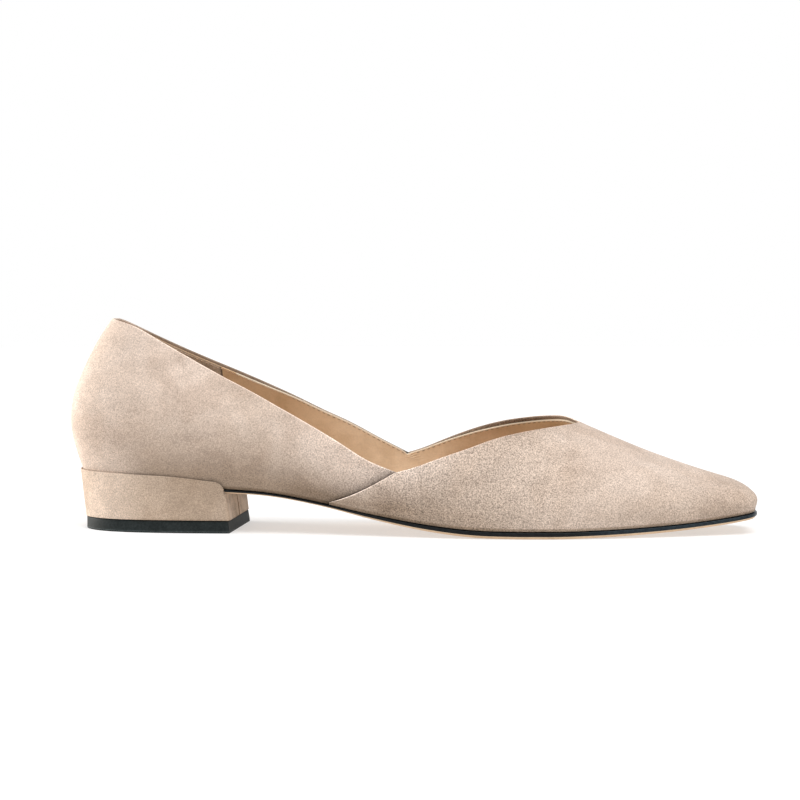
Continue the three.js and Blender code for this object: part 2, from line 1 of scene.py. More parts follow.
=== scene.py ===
import bmesh
import bpy
import numpy as np
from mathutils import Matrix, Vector


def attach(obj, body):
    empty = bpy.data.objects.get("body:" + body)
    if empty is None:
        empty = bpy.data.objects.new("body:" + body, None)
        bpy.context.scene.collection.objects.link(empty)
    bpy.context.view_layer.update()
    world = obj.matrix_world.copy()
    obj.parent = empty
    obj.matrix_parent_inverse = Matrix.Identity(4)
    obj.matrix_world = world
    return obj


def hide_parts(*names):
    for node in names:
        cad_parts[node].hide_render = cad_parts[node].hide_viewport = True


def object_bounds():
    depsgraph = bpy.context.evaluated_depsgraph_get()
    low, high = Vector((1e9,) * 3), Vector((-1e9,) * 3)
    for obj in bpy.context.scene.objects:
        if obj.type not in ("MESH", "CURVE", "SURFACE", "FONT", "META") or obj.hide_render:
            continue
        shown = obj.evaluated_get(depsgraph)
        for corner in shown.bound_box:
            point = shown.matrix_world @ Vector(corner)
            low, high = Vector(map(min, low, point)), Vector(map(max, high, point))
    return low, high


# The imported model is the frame. Every surface below is worked out in millimetres in the last's own
# coordinates, whose x starts at the heel's back, and TO_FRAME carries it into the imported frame.
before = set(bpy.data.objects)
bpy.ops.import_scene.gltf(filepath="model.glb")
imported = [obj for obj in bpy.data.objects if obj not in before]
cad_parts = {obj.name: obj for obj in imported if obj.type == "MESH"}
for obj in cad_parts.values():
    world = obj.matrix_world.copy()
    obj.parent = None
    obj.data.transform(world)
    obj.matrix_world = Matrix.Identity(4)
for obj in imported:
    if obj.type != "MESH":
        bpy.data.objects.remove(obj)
cad_box = [list(corner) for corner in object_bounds()]

# QUARTER. The suede from the waist round the heel, cut in one piece and pulled over the last. It is
# turned in under the insole at its foot, folded over along its top edge, and skived thin in front,
# where both its ends run under the vamp. Its form is the last's, so the last's sizes stand here.
TO_FRAME = np.array([-125.8444, 0.9516, 0.0])
FEATHER_LENGTH = 256.4  # along the feather line, where upper and sole meet
BALL_WIDTH = 75.6
SOLE_THICKNESS = 2.4
HEEL_RISE = 16.5
TOE_SPRING = 5.4
WALL = 1.6  # suede and lining together
COLLAR_HEIGHT = 61.5
COLLAR_LEAN = 11.7
THROAT_AT = 0.742  # shares of the feather length
NOTCH_AT = 0.48
LAP_FOOT_AT = 0.381
THROAT_HEIGHT = 38.4
OUTER_DIP, INNER_DIP = 21.25, 24.8
FORE_BULGE, QUARTER_BULGE = 3.2, 5.4
QUARTER_END, VAMP_START = 0.19, 0.55
MARGIN_WIDTH = 9.0
FEATHER_RADIUS = 0.9
TOE_SET, HEEL_SET = 12.0, 22.0
TOE_SET_FROM, HEEL_SET_TO = 0.72, 0.28
DEEPEST = 0.8  # the most that an inset may reach, as a share of the way to the spine
MARGIN_FLAT = 5.0  # from the feather line to the middle of the margin's flat part
GAP = 0.3
BALL_AT = 0.683
WALL_TOP = 1.1
CREST_EASE = 1.35
BALL_FEATHER = SOLE_THICKNESS + GAP
NOTCH_X = NOTCH_AT * FEATHER_LENGTH
THROAT_X = THROAT_AT * FEATHER_LENGTH


def table(names, rows):
    """A table with named columns, each a plain array."""
    return dict(zip(names.split(), np.array(rows, dtype=float).T))


SECTIONS = table("at outer inner crest rise sole round swell", [
    (0, 0, 0, 0, 1, .62, 2, 0),
    (.0062, .116, .114, 0, .997, .62, 2, 0),
    (.0238, .212, .208, 0, .988, .62, 2, 0),
    (.0535, .286, .281, 0, .972, .62, 2, 0),
    (.096, .331, .325, 0, .95, .62, 2, 0),
    (.153, .35, .345, .004, .91, .62, 2, 0),
    (.223, .352, .334, .01, .852, .52, 2, 0),
    (.293, .344, .3, .018, .765, .44, 2, 0),
    (.367, .37, .286, .028, .57, .46, 2, .5),
    (.442, .414, .306, .038, .33, .66, 2, .8),
    (.516, .461, .362, .048, .135, .85, 1.95, 1),
    (.586, .5, .424, .056, .025, .97, 1.9, 1),
    (.652, .513, .469, .06, 0, 1, 1.9, 1),
    (.714, .496, .487, .06, 0, 1, 1.9, .95),
    (.777, .449, .471, .056, .07, .97, 1.95, .85),
    (.839, .384, .428, .051, .2, .93, 2.05, .75),
    (.894, .317, .372, .045, .38, .89, 2.2, .65),
    (.941, .252, .311, .04, .6, .86, 2.4, .55),
    (.972, .206, .265, .036, .79, .84, 2.6, .5),
    (.9895, .171, .23, .034, .92, .83, 2.8, .45),
    (.9985, .108, .168, .034, .985, .83, 3, .4),
    (1, -.034, .034, .034, 1, .83, 3, .4),
])
TIP = len(SECTIONS["at"]) - 1
CREST = table("at height", [
    (0, 2.6), (.25, 2.34), (.37, 2.07), (.49, 1.78), (.568, 1.53), (.646, 1.3), (.705, 1.127),
    (.742, 1), (.776, .9), (.811, .801), (.847, .705), (.882, .622), (.917, .544), (.953, .471),
])
PROFILE = table("height back side waist", [
    (0, 0, 0, 0),
    (.065, .25, .2, .16),
    (.15, .58, .4, .28),
    (.27, .94, .5, .28),
    (.38, 1.01, .42, .14),
    (.5, .83, .16, -.14),
    (.62, .33, -.18, -.5),
    (.74, -.3, -.58, -.95),
    (.87, -1.12, -1.05, -1.5),
    (1, -2.17, -1.6, -2.1),
    (1.18, -4.1, -2.5, -2.9),
])
QUARTER_LINE = table("along outer inner", [
    (0, 1, 1), (.1, .941, .887), (.2, .838, .786), (.3, .731, .695), (.4, .625, .609),
    (.5, .524, .521), (.6, .415, .428), (.7, .307, .326), (.8, .194, .229), (.9, .076, .113),
    (1, 0, 0),
])
VAMP_LINE = table("along outer inner", [
    (0, 0, 0), (.1, .112, .162), (.25, .331, .467), (.4, .537, .739), (.55, .741, .941),
    (.7, .867, 1.065), (.82, .934, 1.129), (.92, .974, 1.133), (1, 1, 1),
])


def mix(a, b, share):
    """The value a share of the way from a to b."""
    return a + (b - a) * share


def smooth(low, high, value):
    """Eases from 0 at low to 1 at high: three times the share squared less twice its cube."""
    share = np.clip((value - low) / (high - low), 0, 1)
    return share * share * (3 - 2 * share)


def at_row(column, u):
    """A column of SECTIONS at row number u: a uniform Catmull-Rom curve, level at both ends."""
    values = SECTIONS[column]
    padded = np.concatenate([values[1:2], values, values[-2:-1]])
    row = np.clip(np.floor(u).astype(int), 0, TIP - 1)
    s = u - row
    a, b, c, d = (padded[row + i] for i in range(4))
    return b + 0.5 * s * (c - a + s * (2 * a - 5 * b + 4 * c - d + s * (3 * (b - c) + d - a)))


def at_key(keys, values, where):
    """A cubic through the rows, whose slopes come from the rows on both sides, straight beyond."""
    last = len(keys) - 1
    before, after = np.maximum(np.arange(last + 1) - 1, 0), np.minimum(np.arange(last + 1) + 1, last)
    slopes = (values[after] - values[before]) / (keys[after] - keys[before])
    row = np.clip(np.searchsorted(keys, where) - 1, 0, last - 1)
    span = keys[row + 1] - keys[row]
    s = (where - keys[row]) / span
    p, q = values[row], values[row + 1]
    curve = mix(p, q, s * s * (3 - 2 * s))
    curve = curve + span * (slopes[row] * s * (1 - s) ** 2 - slopes[row + 1] * s * s * (1 - s))
    curve = np.where(s < 0, p + slopes[row] * s * span, curve)
    return np.where(s > 1, q + slopes[row + 1] * (s - 1) * span, curve)


def bottom_height(x):
    """Height of the last's bottom at an x: it climbs from the ball to the heel and to the toe."""
    climb = np.where(x < BALL_AT * FEATHER_LENGTH, HEEL_RISE, TOE_SPRING)
    rise = at_key(SECTIONS["at"], SECTIONS["rise"], x / FEATHER_LENGTH)
    return BALL_FEATHER + climb * np.maximum(0, rise)


def crest_height(x):
    """Height of the last's top line, seen from the side."""
    return BALL_FEATHER + THROAT_HEIGHT * at_key(CREST["at"], CREST["height"], x / FEATHER_LENGTH)


def row_of(ring):
    """The row that a ring number stands at: it counts up the outer side and down the inner."""
    ring = np.mod(ring, 2 * TIP)
    return np.minimum(ring, 2 * TIP - ring)


def is_inner(ring):
    """Whether a ring number stands on the inner side."""
    return np.mod(ring, 2 * TIP) > TIP


def feather(ring):
    """The feather line: a closed centripetal Catmull-Rom curve through both sides of SECTIONS seen
    from above, at the height of the last's bottom. Also the level way out, square to it."""
    outline = np.stack([SECTIONS["at"] * FEATHER_LENGTH, -SECTIONS["outer"] * BALL_WIDTH], 1)
    inner = np.stack([SECTIONS["at"] * FEATHER_LENGTH, SECTIONS["inner"] * BALL_WIDTH], 1)
    outline = np.concatenate([outline, inner[-2:0:-1]])
    ring = np.mod(ring, 2 * TIP)
    start = np.floor(ring).astype(int)
    s = (ring - start)[..., None]
    p, q, r, t = (outline[(start + i) % (2 * TIP)] for i in (-1, 0, 1, 2))
    d, e, f = (np.sqrt(np.linalg.norm(b - a, axis=-1))[..., None] for a, b in ((p, q), (q, r), (r, t)))
    leave = e * ((q - p) / d - (r - p) / (d + e) + (r - q) / e)
    reach = e * ((r - q) / e - (t - q) / (e + f) + (t - r) / f)
    square = 3 * (r - q) - 2 * leave - reach
    cube = 2 * (q - r) + leave + reach
    plan = q + s * (leave + s * (square + s * cube))
    run = leave + s * (2 * square + 3 * s * cube)
    run = run / np.linalg.norm(run, axis=-1, keepdims=True)
    point = np.concatenate([plan, bottom_height(plan[..., :1])], -1)
    out = np.stack([run[..., 1], -run[..., 0], np.zeros(ring.shape)], -1)
    return point, out


def spine(row):
    """The line that sections turn about. It lies inside both ends of the feather line."""
    x = at_row("at", row) * FEATHER_LENGTH
    x = x + HEEL_SET * (1 - smooth(0, HEEL_SET_TO * FEATHER_LENGTH, x))
    x = x - TOE_SET * smooth(TOE_SET_FROM, 1, at_row("at", row))
    return np.stack([x, at_row("crest", row) * BALL_WIDTH, bottom_height(x)], -1)


def inset_point(ring, inset, lift):
    """Moved in from the feather line, straight towards the spine in plan, no deeper than DEEPEST,
    and lifted over the last's bottom there."""
    point, _ = feather(ring)
    way = (spine(row_of(ring)) - point)[..., :2]
    far = np.linalg.norm(way, axis=-1)
    plan = point[..., :2] + way * (np.minimum(inset, DEEPEST * far) / far)[..., None]
    return np.concatenate([plan, (bottom_height(plan[..., 0]) + lift)[..., None]], -1)


def quarter_form(ring, t):
    """Straight up from the feather line, and out by the profile, which blends from the heel's back
    to its sides by the square of the way out, and into the waist's by the place along the shoe."""
    point, out = feather(ring)
    height = t * WALL_TOP
    back, side, waist = (
        at_key(PROFILE["height"], PROFILE[name], height) for name in ("back", "side", "waist")
    )
    to_waist = smooth(QUARTER_END, VAMP_START, point[..., 0] / FEATHER_LENGTH)
    offset = mix(mix(back, side, out[..., 1] ** 2), waist, to_waist)
    point = point + out * (offset * QUARTER_BULGE)[..., None]
    point[..., 2] += FEATHER_RADIUS + height * COLLAR_HEIGHT
    return point


def forepart_form(ring, t):
    """A superellipse from the feather line up and over to the crest: across goes as one less a
    power of the cosine and up as that power of the sine. A swell is added, fullest a third of the
    way up, where 27 / 4 makes it whole, and the top follows the crest's slope."""
    point, out = feather(ring)
    row = row_of(ring)
    top = spine(row)
    power = 2 / at_row("round", row)
    turn = np.pi / 2 * t
    across = 1 - np.maximum(np.cos(turn), 0) ** power
    up = np.sin(turn) ** power
    foot = point[..., 2] + FEATHER_RADIUS
    point = mix(point, top, across[..., None])
    swell = FORE_BULGE * at_row("swell", row) * 27 / 4 * t * (1 - t) ** 2
    point = point + out * swell[..., None]
    slope = crest_height(top[..., 0] + 0.5) - crest_height(top[..., 0] - 0.5)
    target = crest_height(top[..., 0]) + slope * (point[..., 0] - top[..., 0])
    point[..., 2] = mix(foot, target, up)
    return point


def last_form(ring, t):
    """The last's surface: the quarter's form blended into the forepart's along the waist. t runs
    from 0 at the feather line to 1 on the crest."""
    ring, t = np.broadcast_arrays(np.asarray(ring, float), np.asarray(t, float))
    share = smooth(QUARTER_END, VAMP_START, at_row("at", row_of(ring)))[..., None]
    return mix(quarter_form(ring, t), forepart_form(ring, t), share)


def last_normal(ring, t):
    """Out of the last: along the ring crossed with up the wall, and on the crest square to it."""
    step = 1e-3
    ring, t = np.broadcast_arrays(np.asarray(ring, float), np.asarray(t, float))
    along = last_form(ring + step, t) - last_form(ring - step, t)
    up = last_form(ring, np.minimum(1, t + step)) - last_form(ring, np.maximum(0, t - step))
    normal = np.cross(along, up)
    x = spine(row_of(ring))[..., 0]
    slope = crest_height(x + 0.5) - crest_height(x - 0.5)
    crest = np.stack([-slope, np.zeros_like(x), np.ones_like(x)], -1)
    normal = np.where((t > 1 - step)[..., None], crest, normal)
    return normal / np.linalg.norm(normal, axis=-1, keepdims=True)


def line_height(line, x, ring):
    """Height of a topline over x: from the notch up to the collar or to the throat, by its table."""
    notch = BALL_FEATHER + np.where(is_inner(ring), INNER_DIP, OUTER_DIP)
    if line is QUARTER_LINE:
        along = np.maximum(0, (x - COLLAR_LEAN) / (NOTCH_X - COLLAR_LEAN))
        end = BALL_FEATHER + HEEL_RISE + COLLAR_HEIGHT
    else:
        along = np.minimum(1, (x - NOTCH_X) / (THROAT_X - NOTCH_X))
        end = crest_height(THROAT_X)
    outer, inner = (at_key(line["along"], line[side], along) for side in ("outer", "inner"))
    return mix(notch, end, np.where(is_inner(ring), inner, outer))


def cut_t(ring, line):
    """The t at which the wall meets a topline, by halving. Ahead of the throat it is the crest's."""
    low, high = np.zeros(ring.shape), np.ones(ring.shape)
    for _ in range(30):
        middle = (low + high) / 2
        point = last_form(ring, middle)
        under = point[..., 2] < line_height(line, point[..., 0], ring)
        low, high = np.where(under, middle, low), np.where(under, high, middle)
    closed = spine(row_of(ring))[..., 0] >= THROAT_X - 1e-6
    return np.where(closed, 1, (low + high) / 2)


FINE_ROWS = np.linspace(0, TIP, 8401)
LAP_FOOT = np.interp(LAP_FOOT_AT, at_row("at", FINE_ROWS), FINE_ROWS)
LAP_TOP = np.interp(NOTCH_X, spine(FINE_ROWS)[:, 0], FINE_ROWS)
THROAT_ROW = np.interp(THROAT_X, spine(FINE_ROWS)[:, 0], FINE_ROWS)
TURN = np.radians([90, 72, 54, 36, 18])  # places on the quarter turn at the feather line
LAP_SAG = 0.033  # how far the lap's edge bends forwards, as a share of its lean


def lean(foot, top, share):
    """Ring numbers up the columns: straight from foot to top, and bent forwards by half a sine
    wave, the more the nearer a column is to the lap."""
    row = row_of(foot)
    near = np.maximum(0, (THROAT_ROW - row) / (THROAT_ROW - LAP_FOOT))
    near = np.where(row < LAP_FOOT, row / LAP_FOOT, near) ** 2
    bend = LAP_SAG * (LAP_TOP - LAP_FOOT) * near * np.where(is_inner(foot), -1, 1)
    return mix(foot[:, None], top[:, None], share) + bend[:, None] * np.sin(np.pi * share)


def wall_rows(foot, top, cut, shares, depth):
    """Rows of a skin, by column and by place: the skived edge of the lasting margin, its flat
    part, the quarter turn about the feather, and the wall to its top. A column leans from its ring
    number at the foot to that at the top. depth is how far the skin stands out of the last."""
    share = shares[None, :]
    ring = lean(foot, top, share)
    t = cut[:, None] * share ** mix(1, CREST_EASE, cut[:, None])
    rise = last_form(ring, t) + last_normal(ring, t) * depth[..., None]
    base = depth[:, :1]
    ring = foot[:, None] + np.zeros(len(TURN))
    turn = inset_point(
        ring,
        FEATHER_RADIUS - (FEATHER_RADIUS + base) * np.cos(TURN),
        FEATHER_RADIUS - (FEATHER_RADIUS + base) * np.sin(TURN),
    )
    flat = inset_point(ring[:, :1], MARGIN_FLAT, -base)
    edge = inset_point(ring[:, :1], MARGIN_WIDTH, np.zeros_like(base))
    return np.concatenate([edge, flat, turn, rise], 1)


MARGIN_ROWS = len(TURN) + 2


def edge_frame(line, normal):
    """Along a piece's edge: the way into the piece, which is the run crossed with the normal."""
    run = np.gradient(line, axis=0)
    into = np.cross(run, normal)
    return into / np.linalg.norm(into, axis=-1, keepdims=True)


FOLD = np.linspace(0, np.pi, 9)


def fold(line, normal, into, high, low, tuck):
    """A folded edge carried along a line: half an ellipse from the outer face at height high to
    the inner at low, reaching tuck out of the piece."""
    middle, half = (high + low)[:, None] / 2, (high - low)[:, None] / 2
    height = middle + half * np.cos(FOLD)
    back = tuck[:, None] * (1 - np.sin(FOLD))
    return line[:, None] + into[:, None] * back[..., None] + normal[:, None] * height[..., None]


def weld(name, grids, smooth_angle=50):
    """One mesh from grids of points, each with two values a point, its rise and its place along.
    Points at one place become one, and the faces are turned outwards."""
    points = np.concatenate([points.reshape(-1, 3) for points, _, _ in grids])
    rise = np.concatenate([np.broadcast_to(r, p.shape[:2]).ravel() for p, r, _ in grids])
    along = np.concatenate([np.broadcast_to(a, p.shape[:2]).ravel() for p, _, a in grids])
    quads, start = [], 0
    for grid, _, _ in grids:
        index = start + np.arange(grid.shape[0] * grid.shape[1]).reshape(grid.shape[:2])
        corners = index[:-1, :-1], index[1:, :-1], index[1:, 1:], index[:-1, 1:]
        quads.append(np.stack(corners, -1).reshape(-1, 4))
        start += index.size
    _, first, same = np.unique(
        np.round(points, 3), axis=0, return_index=True, return_inverse=True
    )
    faces = same.ravel()[np.concatenate(quads)]
    kept = faces != np.roll(faces, -1, axis=1)
    whole, three = kept.all(1), kept.sum(1) == 3
    three &= (faces[:, 0] != faces[:, 2]) & (faces[:, 1] != faces[:, 3])
    whole &= (faces[:, 0] != faces[:, 2]) & (faces[:, 1] != faces[:, 3])
    corners = faces[whole].tolist() + faces[three][kept[three]].reshape(-1, 3).tolist()
    mesh = bpy.data.meshes.new(name)
    mesh.from_pydata(((points[first] + TO_FRAME) / 1000).tolist(), [], corners)
    for label, values in (("rise", rise), ("along", along)):
        values = np.ascontiguousarray(values[first], dtype=np.float32)
        mesh.attributes.new(label, "FLOAT", "POINT").data.foreach_set("value", values)
    work = bmesh.new()
    work.from_mesh(mesh)
    bmesh.ops.recalc_face_normals(work, faces=work.faces)
    if work.calc_volume(signed=True) < 0:
        bmesh.ops.reverse_faces(work, faces=work.faces)
    work.to_mesh(mesh)
    work.free()
    mesh.polygons.foreach_set("use_smooth", [True] * len(mesh.polygons))
    mesh.set_sharp_from_angle(angle=np.radians(smooth_angle))
    piece = bpy.data.objects.new(name, mesh)
    bpy.context.scene.collection.objects.link(piece)
    return piece


class Finish:
    """A material under construction: each call adds one node and returns its main output."""

    def __init__(self, name):
        self.material = bpy.data.materials.new(name)
        self.material.use_nodes = True
        self.nodes = self.material.node_tree.nodes
        self.shader = self.nodes["Principled BSDF"]

    def put(self, socket, value):
        if isinstance(value, bpy.types.NodeSocket):
            self.material.node_tree.links.new(value, socket)
        else:
            socket.default_value = (*value, 1) if isinstance(value, tuple) and len(value) == 3 else value

    def shade(self, **values):
        for name, value in values.items():
            self.put(self.shader.inputs[name.replace("_", " ")], value)

    def place(self):
        return self.nodes.new("ShaderNodeTexCoord").outputs["Object"]

    def length(self):
        """The place along the shoe, from 0 at the heel's back to 1 at the toe."""
        split = self.nodes.new("ShaderNodeSeparateXYZ")
        self.put(split.inputs[0], self.place())
        part = self.sum(split.outputs["X"], 1 / (cad_box[1][0] - cad_box[0][0]), "MULTIPLY")
        return self.sum(part, 0.5)

    def value(self, name):
        node = self.nodes.new("ShaderNodeAttribute")
        node.attribute_name = name
        return node.outputs["Fac"]

    def noise(self, size, detail=2.0, rough=0.5, stretch=None, distortion=0.0):
        """Noise whose blotches are about size millimetres wide."""
        node = self.nodes.new("ShaderNodeTexNoise")
        where = self.place()
        if stretch:
            turn = self.nodes.new("ShaderNodeMapping")
            self.put(turn.inputs["Vector"], where)
            turn.inputs["Scale"].default_value = stretch
            where = turn.outputs["Vector"]
        self.put(node.inputs["Vector"], where)
        for name, value in (("Scale", 1000 / size), ("Detail", detail), ("Roughness", rough)):
            node.inputs[name].default_value = value
        node.inputs["Distortion"].default_value = distortion
        return node.outputs["Fac"]

    def ramp(self, value, stops, smoothly=True):
        """Between given values of a number, goes from one number or colour to the next."""
        node = self.nodes.new("ShaderNodeValToRGB")
        node.color_ramp.interpolation = "EASE" if smoothly else "LINEAR"
        elements = node.color_ramp.elements
        while len(elements) < len(stops):
            elements.new(0.5)
        for element, (where, colour) in zip(elements, stops):
            element.position = where
            element.color = (*colour, 1) if isinstance(colour, tuple) else (colour,) * 3 + (1,)
        self.put(node.inputs["Fac"], value)
        return node.outputs["Color"]

    def blend(self, a, b, share, how="MIX"):
        node = self.nodes.new("ShaderNodeMix")
        node.data_type, node.blend_type = "RGBA", how
        for name, value in (("Factor_Float", share), ("A_Color", a), ("B_Color", b)):
            self.put(next(s for s in node.inputs if s.identifier == name), value)
        return next(s for s in node.outputs if s.identifier == "Result_Color")

    def times(self, a, b, share=1.0):
        """A colour, multiplied by another by a share."""
        return self.blend(a, b, share, "MULTIPLY")

    def tint(self, colour):
        """Multiplies the shader's base colour by another."""
        shaded = self.shader.inputs["Base Color"].links[0].from_socket
        self.shade(Base_Color=self.times(shaded, colour))

    def sum(self, a, b, how="ADD"):
        node = self.nodes.new("ShaderNodeMath")
        node.operation = how
        self.put(node.inputs[0], a)
        self.put(node.inputs[1], b)
        return node.outputs[0]

    def bump(self, height, depth, strength=1.0, over=None):
        """Relief of a height between 0 and 1, depth millimetres deep."""
        node = self.nodes.new("ShaderNodeBump")
        node.inputs["Strength"].default_value = strength
        node.inputs["Distance"].default_value = depth / 1000
        self.put(node.inputs["Height"], height)
        if over:
            self.put(node.inputs["Normal"], over)
        return node.outputs["Normal"]


def brown(shade):
    """A shade that turns browner as it darkens: its red falls slower and its blue faster."""
    return (shade**0.9, shade, shade**1.15)


def suede(name, light, middle, dark, low=((0, 1),), high=((0, 1),), foot=(0, 1), edge=1.4, inside=0.5):
    """Suede: wide clouds where the nap lies one way or the other, and fine fibres. Painted light and
    shade go along the shoe, by low near the sole and by high from two thirds of the way up, which
    list places and shades. foot is a line of painted shade at the sole, edge multiplies the fold's
    outer face as a painted highlight above 1 and painted shade below 1, and inside is painted shade
    on the turned-in side."""
    finish = Finish(name)
    clouds = finish.noise(30, 3.0, 0.55, distortion=0.5)
    colour = finish.ramp(clouds, [(0.36, dark), (0.5, middle), (0.64, light)])
    brushed = finish.noise(7, 4.0, 0.6, stretch=(0.55, 1, 1.4), distortion=0.4)
    colour = finish.times(colour, finish.ramp(brushed, [(0.3, 0.92), (0.7, 1.04)]))
    fibres = finish.noise(0.46, 1.5, 0.6, distortion=0.2)
    flecks = finish.ramp(fibres, [(0.3, 0.44), (0.5, 0.98), (0.7, 1.52)], False)
    length = finish.length()
    strength = finish.ramp(length, [(0.0, 0.6), (0.15, 0.46), (0.3, 0.48), (0.4, 0.58), (0.5, 0.95),
                                    (0.65, 0.92), (0.8, 0.66), (1.0, 0.74)])
    colour = finish.times(colour, flecks, strength)
    # painted light and shade along the shoe, blended from low near the sole to high up the wall
    tones = [finish.ramp(length, [(at, brown(shade)) for at, shade in part]) for part in (low, high)]
    half = finish.sum(finish.value("rise"), 0.5, "MULTIPLY")
    tone = finish.blend(*tones, finish.ramp(half, [(0.08, 0.0), (0.42, 1.0)], False))
    colour = finish.times(colour, tone)
    # painted shade in a line at the sole, a painted highlight on the fold's outer face (painted shade where
    # edge is under 1) and painted shade on its turned-in side, all weaker at the heel's back
    reach, shade = foot
    stops = [(0, brown(shade)), (reach / 2, 1.0), (0.5, 1.0), (0.53, edge), (0.69, edge),
             (0.74, brown(inside)), (1.0, brown(inside))]
    fold = finish.ramp(length, [(0.085, 0.3), (0.11, 1.0)])
    colour = finish.times(colour, finish.ramp(half, stops, False), fold)
    finish.shade(Base_Color=colour, Roughness=0.9, Sheen_Weight=0.12, Sheen_Roughness=0.4,
                 Specular_IOR_Level=0.12)
    finish.shader.inputs["Sheen Tint"].default_value = (1.0, 0.93, 0.86, 1)
    tufts = finish.bump(finish.noise(2.4, 3.0, 0.6), 0.12, 0.5)
    finish.shade(Normal=finish.bump(fibres, 0.12, 0.6, tufts))
    return finish


QUARTER_COLUMNS = 96  # on one side
UNDERLAP = 1.02  # how far each front end runs on under the vamp, as a share of the quarter's length
SUEDE = 0.9  # thickness of the suede with its fold
EDGE_TUCK = 0.45

places = np.linspace(-UNDERLAP, UNDERLAP, 2 * QUARTER_COLUMNS + 1)
quarter_shares = np.linspace(0, 1, 45)
quarter_foot, quarter_top = places * LAP_FOOT, places * LAP_TOP
quarter_cut = cut_t(quarter_top, QUARTER_LINE)
skived = smooth(1.0, UNDERLAP, np.abs(places))
rim = last_form(quarter_top, quarter_cut)
rim_normal = last_normal(quarter_top, quarter_cut)
rim_into = edge_frame(rim, rim_normal)
tuck = EDGE_TUCK * (1 - skived)
high, low = -SUEDE * skived, np.full(len(places), -SUEDE)


def draw_down(rows, into, tuck, start=0.75, shares=quarter_shares):
    """Moves the upper rows of a wall down from its top line, more the nearer they are to it."""
    moved = rows.copy()
    moved[:, MARGIN_ROWS:] += into[:, None] * (tuck[:, None] * smooth(start, 1, shares))[..., None]
    return moved


def quarter_face(depth):
    """The quarter's face at a depth, drawn down from its top line to where the fold starts."""
    rows = wall_rows(quarter_foot, quarter_top, quarter_cut, quarter_shares,
                     depth[:, None] + 0 * quarter_shares)
    return draw_down(rows, rim_into, tuck)


rise_rows = np.concatenate([np.zeros(MARGIN_ROWS), quarter_shares])
quarter = weld("quarter", [
    (quarter_face(high), rise_rows, np.abs(places)[:, None]),
    (fold(rim, rim_normal, rim_into, high, low, tuck), 1 + FOLD / np.pi, np.abs(places)[:, None]),
    (quarter_face(low), 2.0, np.abs(places)[:, None]),
])
SUEDE_TONES = (0.66, 0.54, 0.455), (0.61, 0.49, 0.405), (0.53, 0.415, 0.335)
# painted light and shade along the shoe, low near the sole and high up the wall, set until the render's
# mean tones came near the photo's
LOW_LIGHT_AND_SHADE = [(0.0, 1.3), (0.06, 1.0), (0.15, 0.52), (0.3, 0.45), (0.43, 0.39), (0.515, 0.46), (0.6, 0.66),
           (0.72, 0.86), (0.88, 0.76), (1.0, 0.8)]
HIGH_LIGHT_AND_SHADE = [(0.05, 0.98), (0.2, 1.1), (0.28, 0.93), (0.44, 1.17), (0.58, 0.88), (0.68, 0.86), (0.8, 1.09),
            (0.9, 0.98), (1.0, 0.9)]
quarter_suede = suede("quarter_suede", *SUEDE_TONES, LOW_LIGHT_AND_SHADE, HIGH_LIGHT_AND_SHADE, (0.03, 0.6))
# painted shadow on the quarter along the vamp's lapped edge, darkest at the edge
painted_lap_shadow = quarter_suede.ramp(
    quarter_suede.value("along"), [(0.92, 1.0), (0.975, 0.86), (0.992, 0.6), (1.0, 0.3)]
)
quarter_suede.tint(painted_lap_shadow)
quarter.data.materials.append(quarter_suede.material)
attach(quarter, "root")

# VAMP. The suede of the forepart, pulled over the squared toe. Its folded edge runs in one curve up
# the lap from the sole, on along the topline and round the V throat, and stands on the quarter at
# the lap, so it has a step there.
THROAT_COLUMNS, TOE_COLUMNS = 60, 62
THROAT_EASE = 1.7
LAP_RISE, LAP_FADE = 0.7, 1.5
LAP_UNDER = 0.06

throat_shares = 1 - (1 - np.linspace(0, 1, THROAT_COLUMNS + 1)) ** THROAT_EASE
toe_shares = np.linspace(0, 1, TOE_COLUMNS + 1)[1:]
half_foot = np.concatenate([mix(LAP_FOOT, THROAT_ROW, throat_shares), mix(THROAT_ROW, TIP, toe_shares)])
half_top = np.concatenate([mix(LAP_TOP, THROAT_ROW, throat_shares), mix(THROAT_ROW, TIP, toe_shares)])
vamp_shares = np.linspace(0, 1, 47)
vamp_foot = np.concatenate([half_foot, 2 * TIP - half_foot[-2::-1]])
vamp_top = np.concatenate([half_top, 2 * TIP - half_top[-2::-1]])
vamp_cut = cut_t(vamp_top, VAMP_LINE)
V = THROAT_COLUMNS
vamp_cut[V:-V] = 1

ahead = mix(
    (row_of(vamp_foot) - LAP_FOOT)[:, None], (row_of(vamp_top) - LAP_TOP)[:, None], vamp_shares
)
lap = 1 - smooth(0, LAP_FADE, ahead)
vamp_high = LAP_RISE * lap * mix(0.3, 1, smooth(0, 0.2, vamp_shares))
vamp_low = mix(LAP_UNDER, -SUEDE, smooth(0, 0.25, ahead))


def edge_of(rows):
    """The rows' values along the vamp's edge: up the outer lap, round the throat, down the other."""
    return np.concatenate([rows[0, :-1], rows[: V + 1, -1], rows[-V:, -1], rows[-1, -2::-1]])


def with_edge(rows, edge):
    """Puts values that run along the vamp's edge back into its rows."""
    rows = rows.copy()
    up = rows.shape[1] - 1
    rows[0, :-1] = edge[:up]
    rows[: V + 1, -1] = edge[up : up + V + 1]
    rows[-V - 1, -1] = edge[up + V]
    rows[-V:, -1] = edge[up + V + 1 : up + 2 * V + 1]
    rows[-1, -2::-1] = edge[up + 2 * V + 1 :]
    return rows


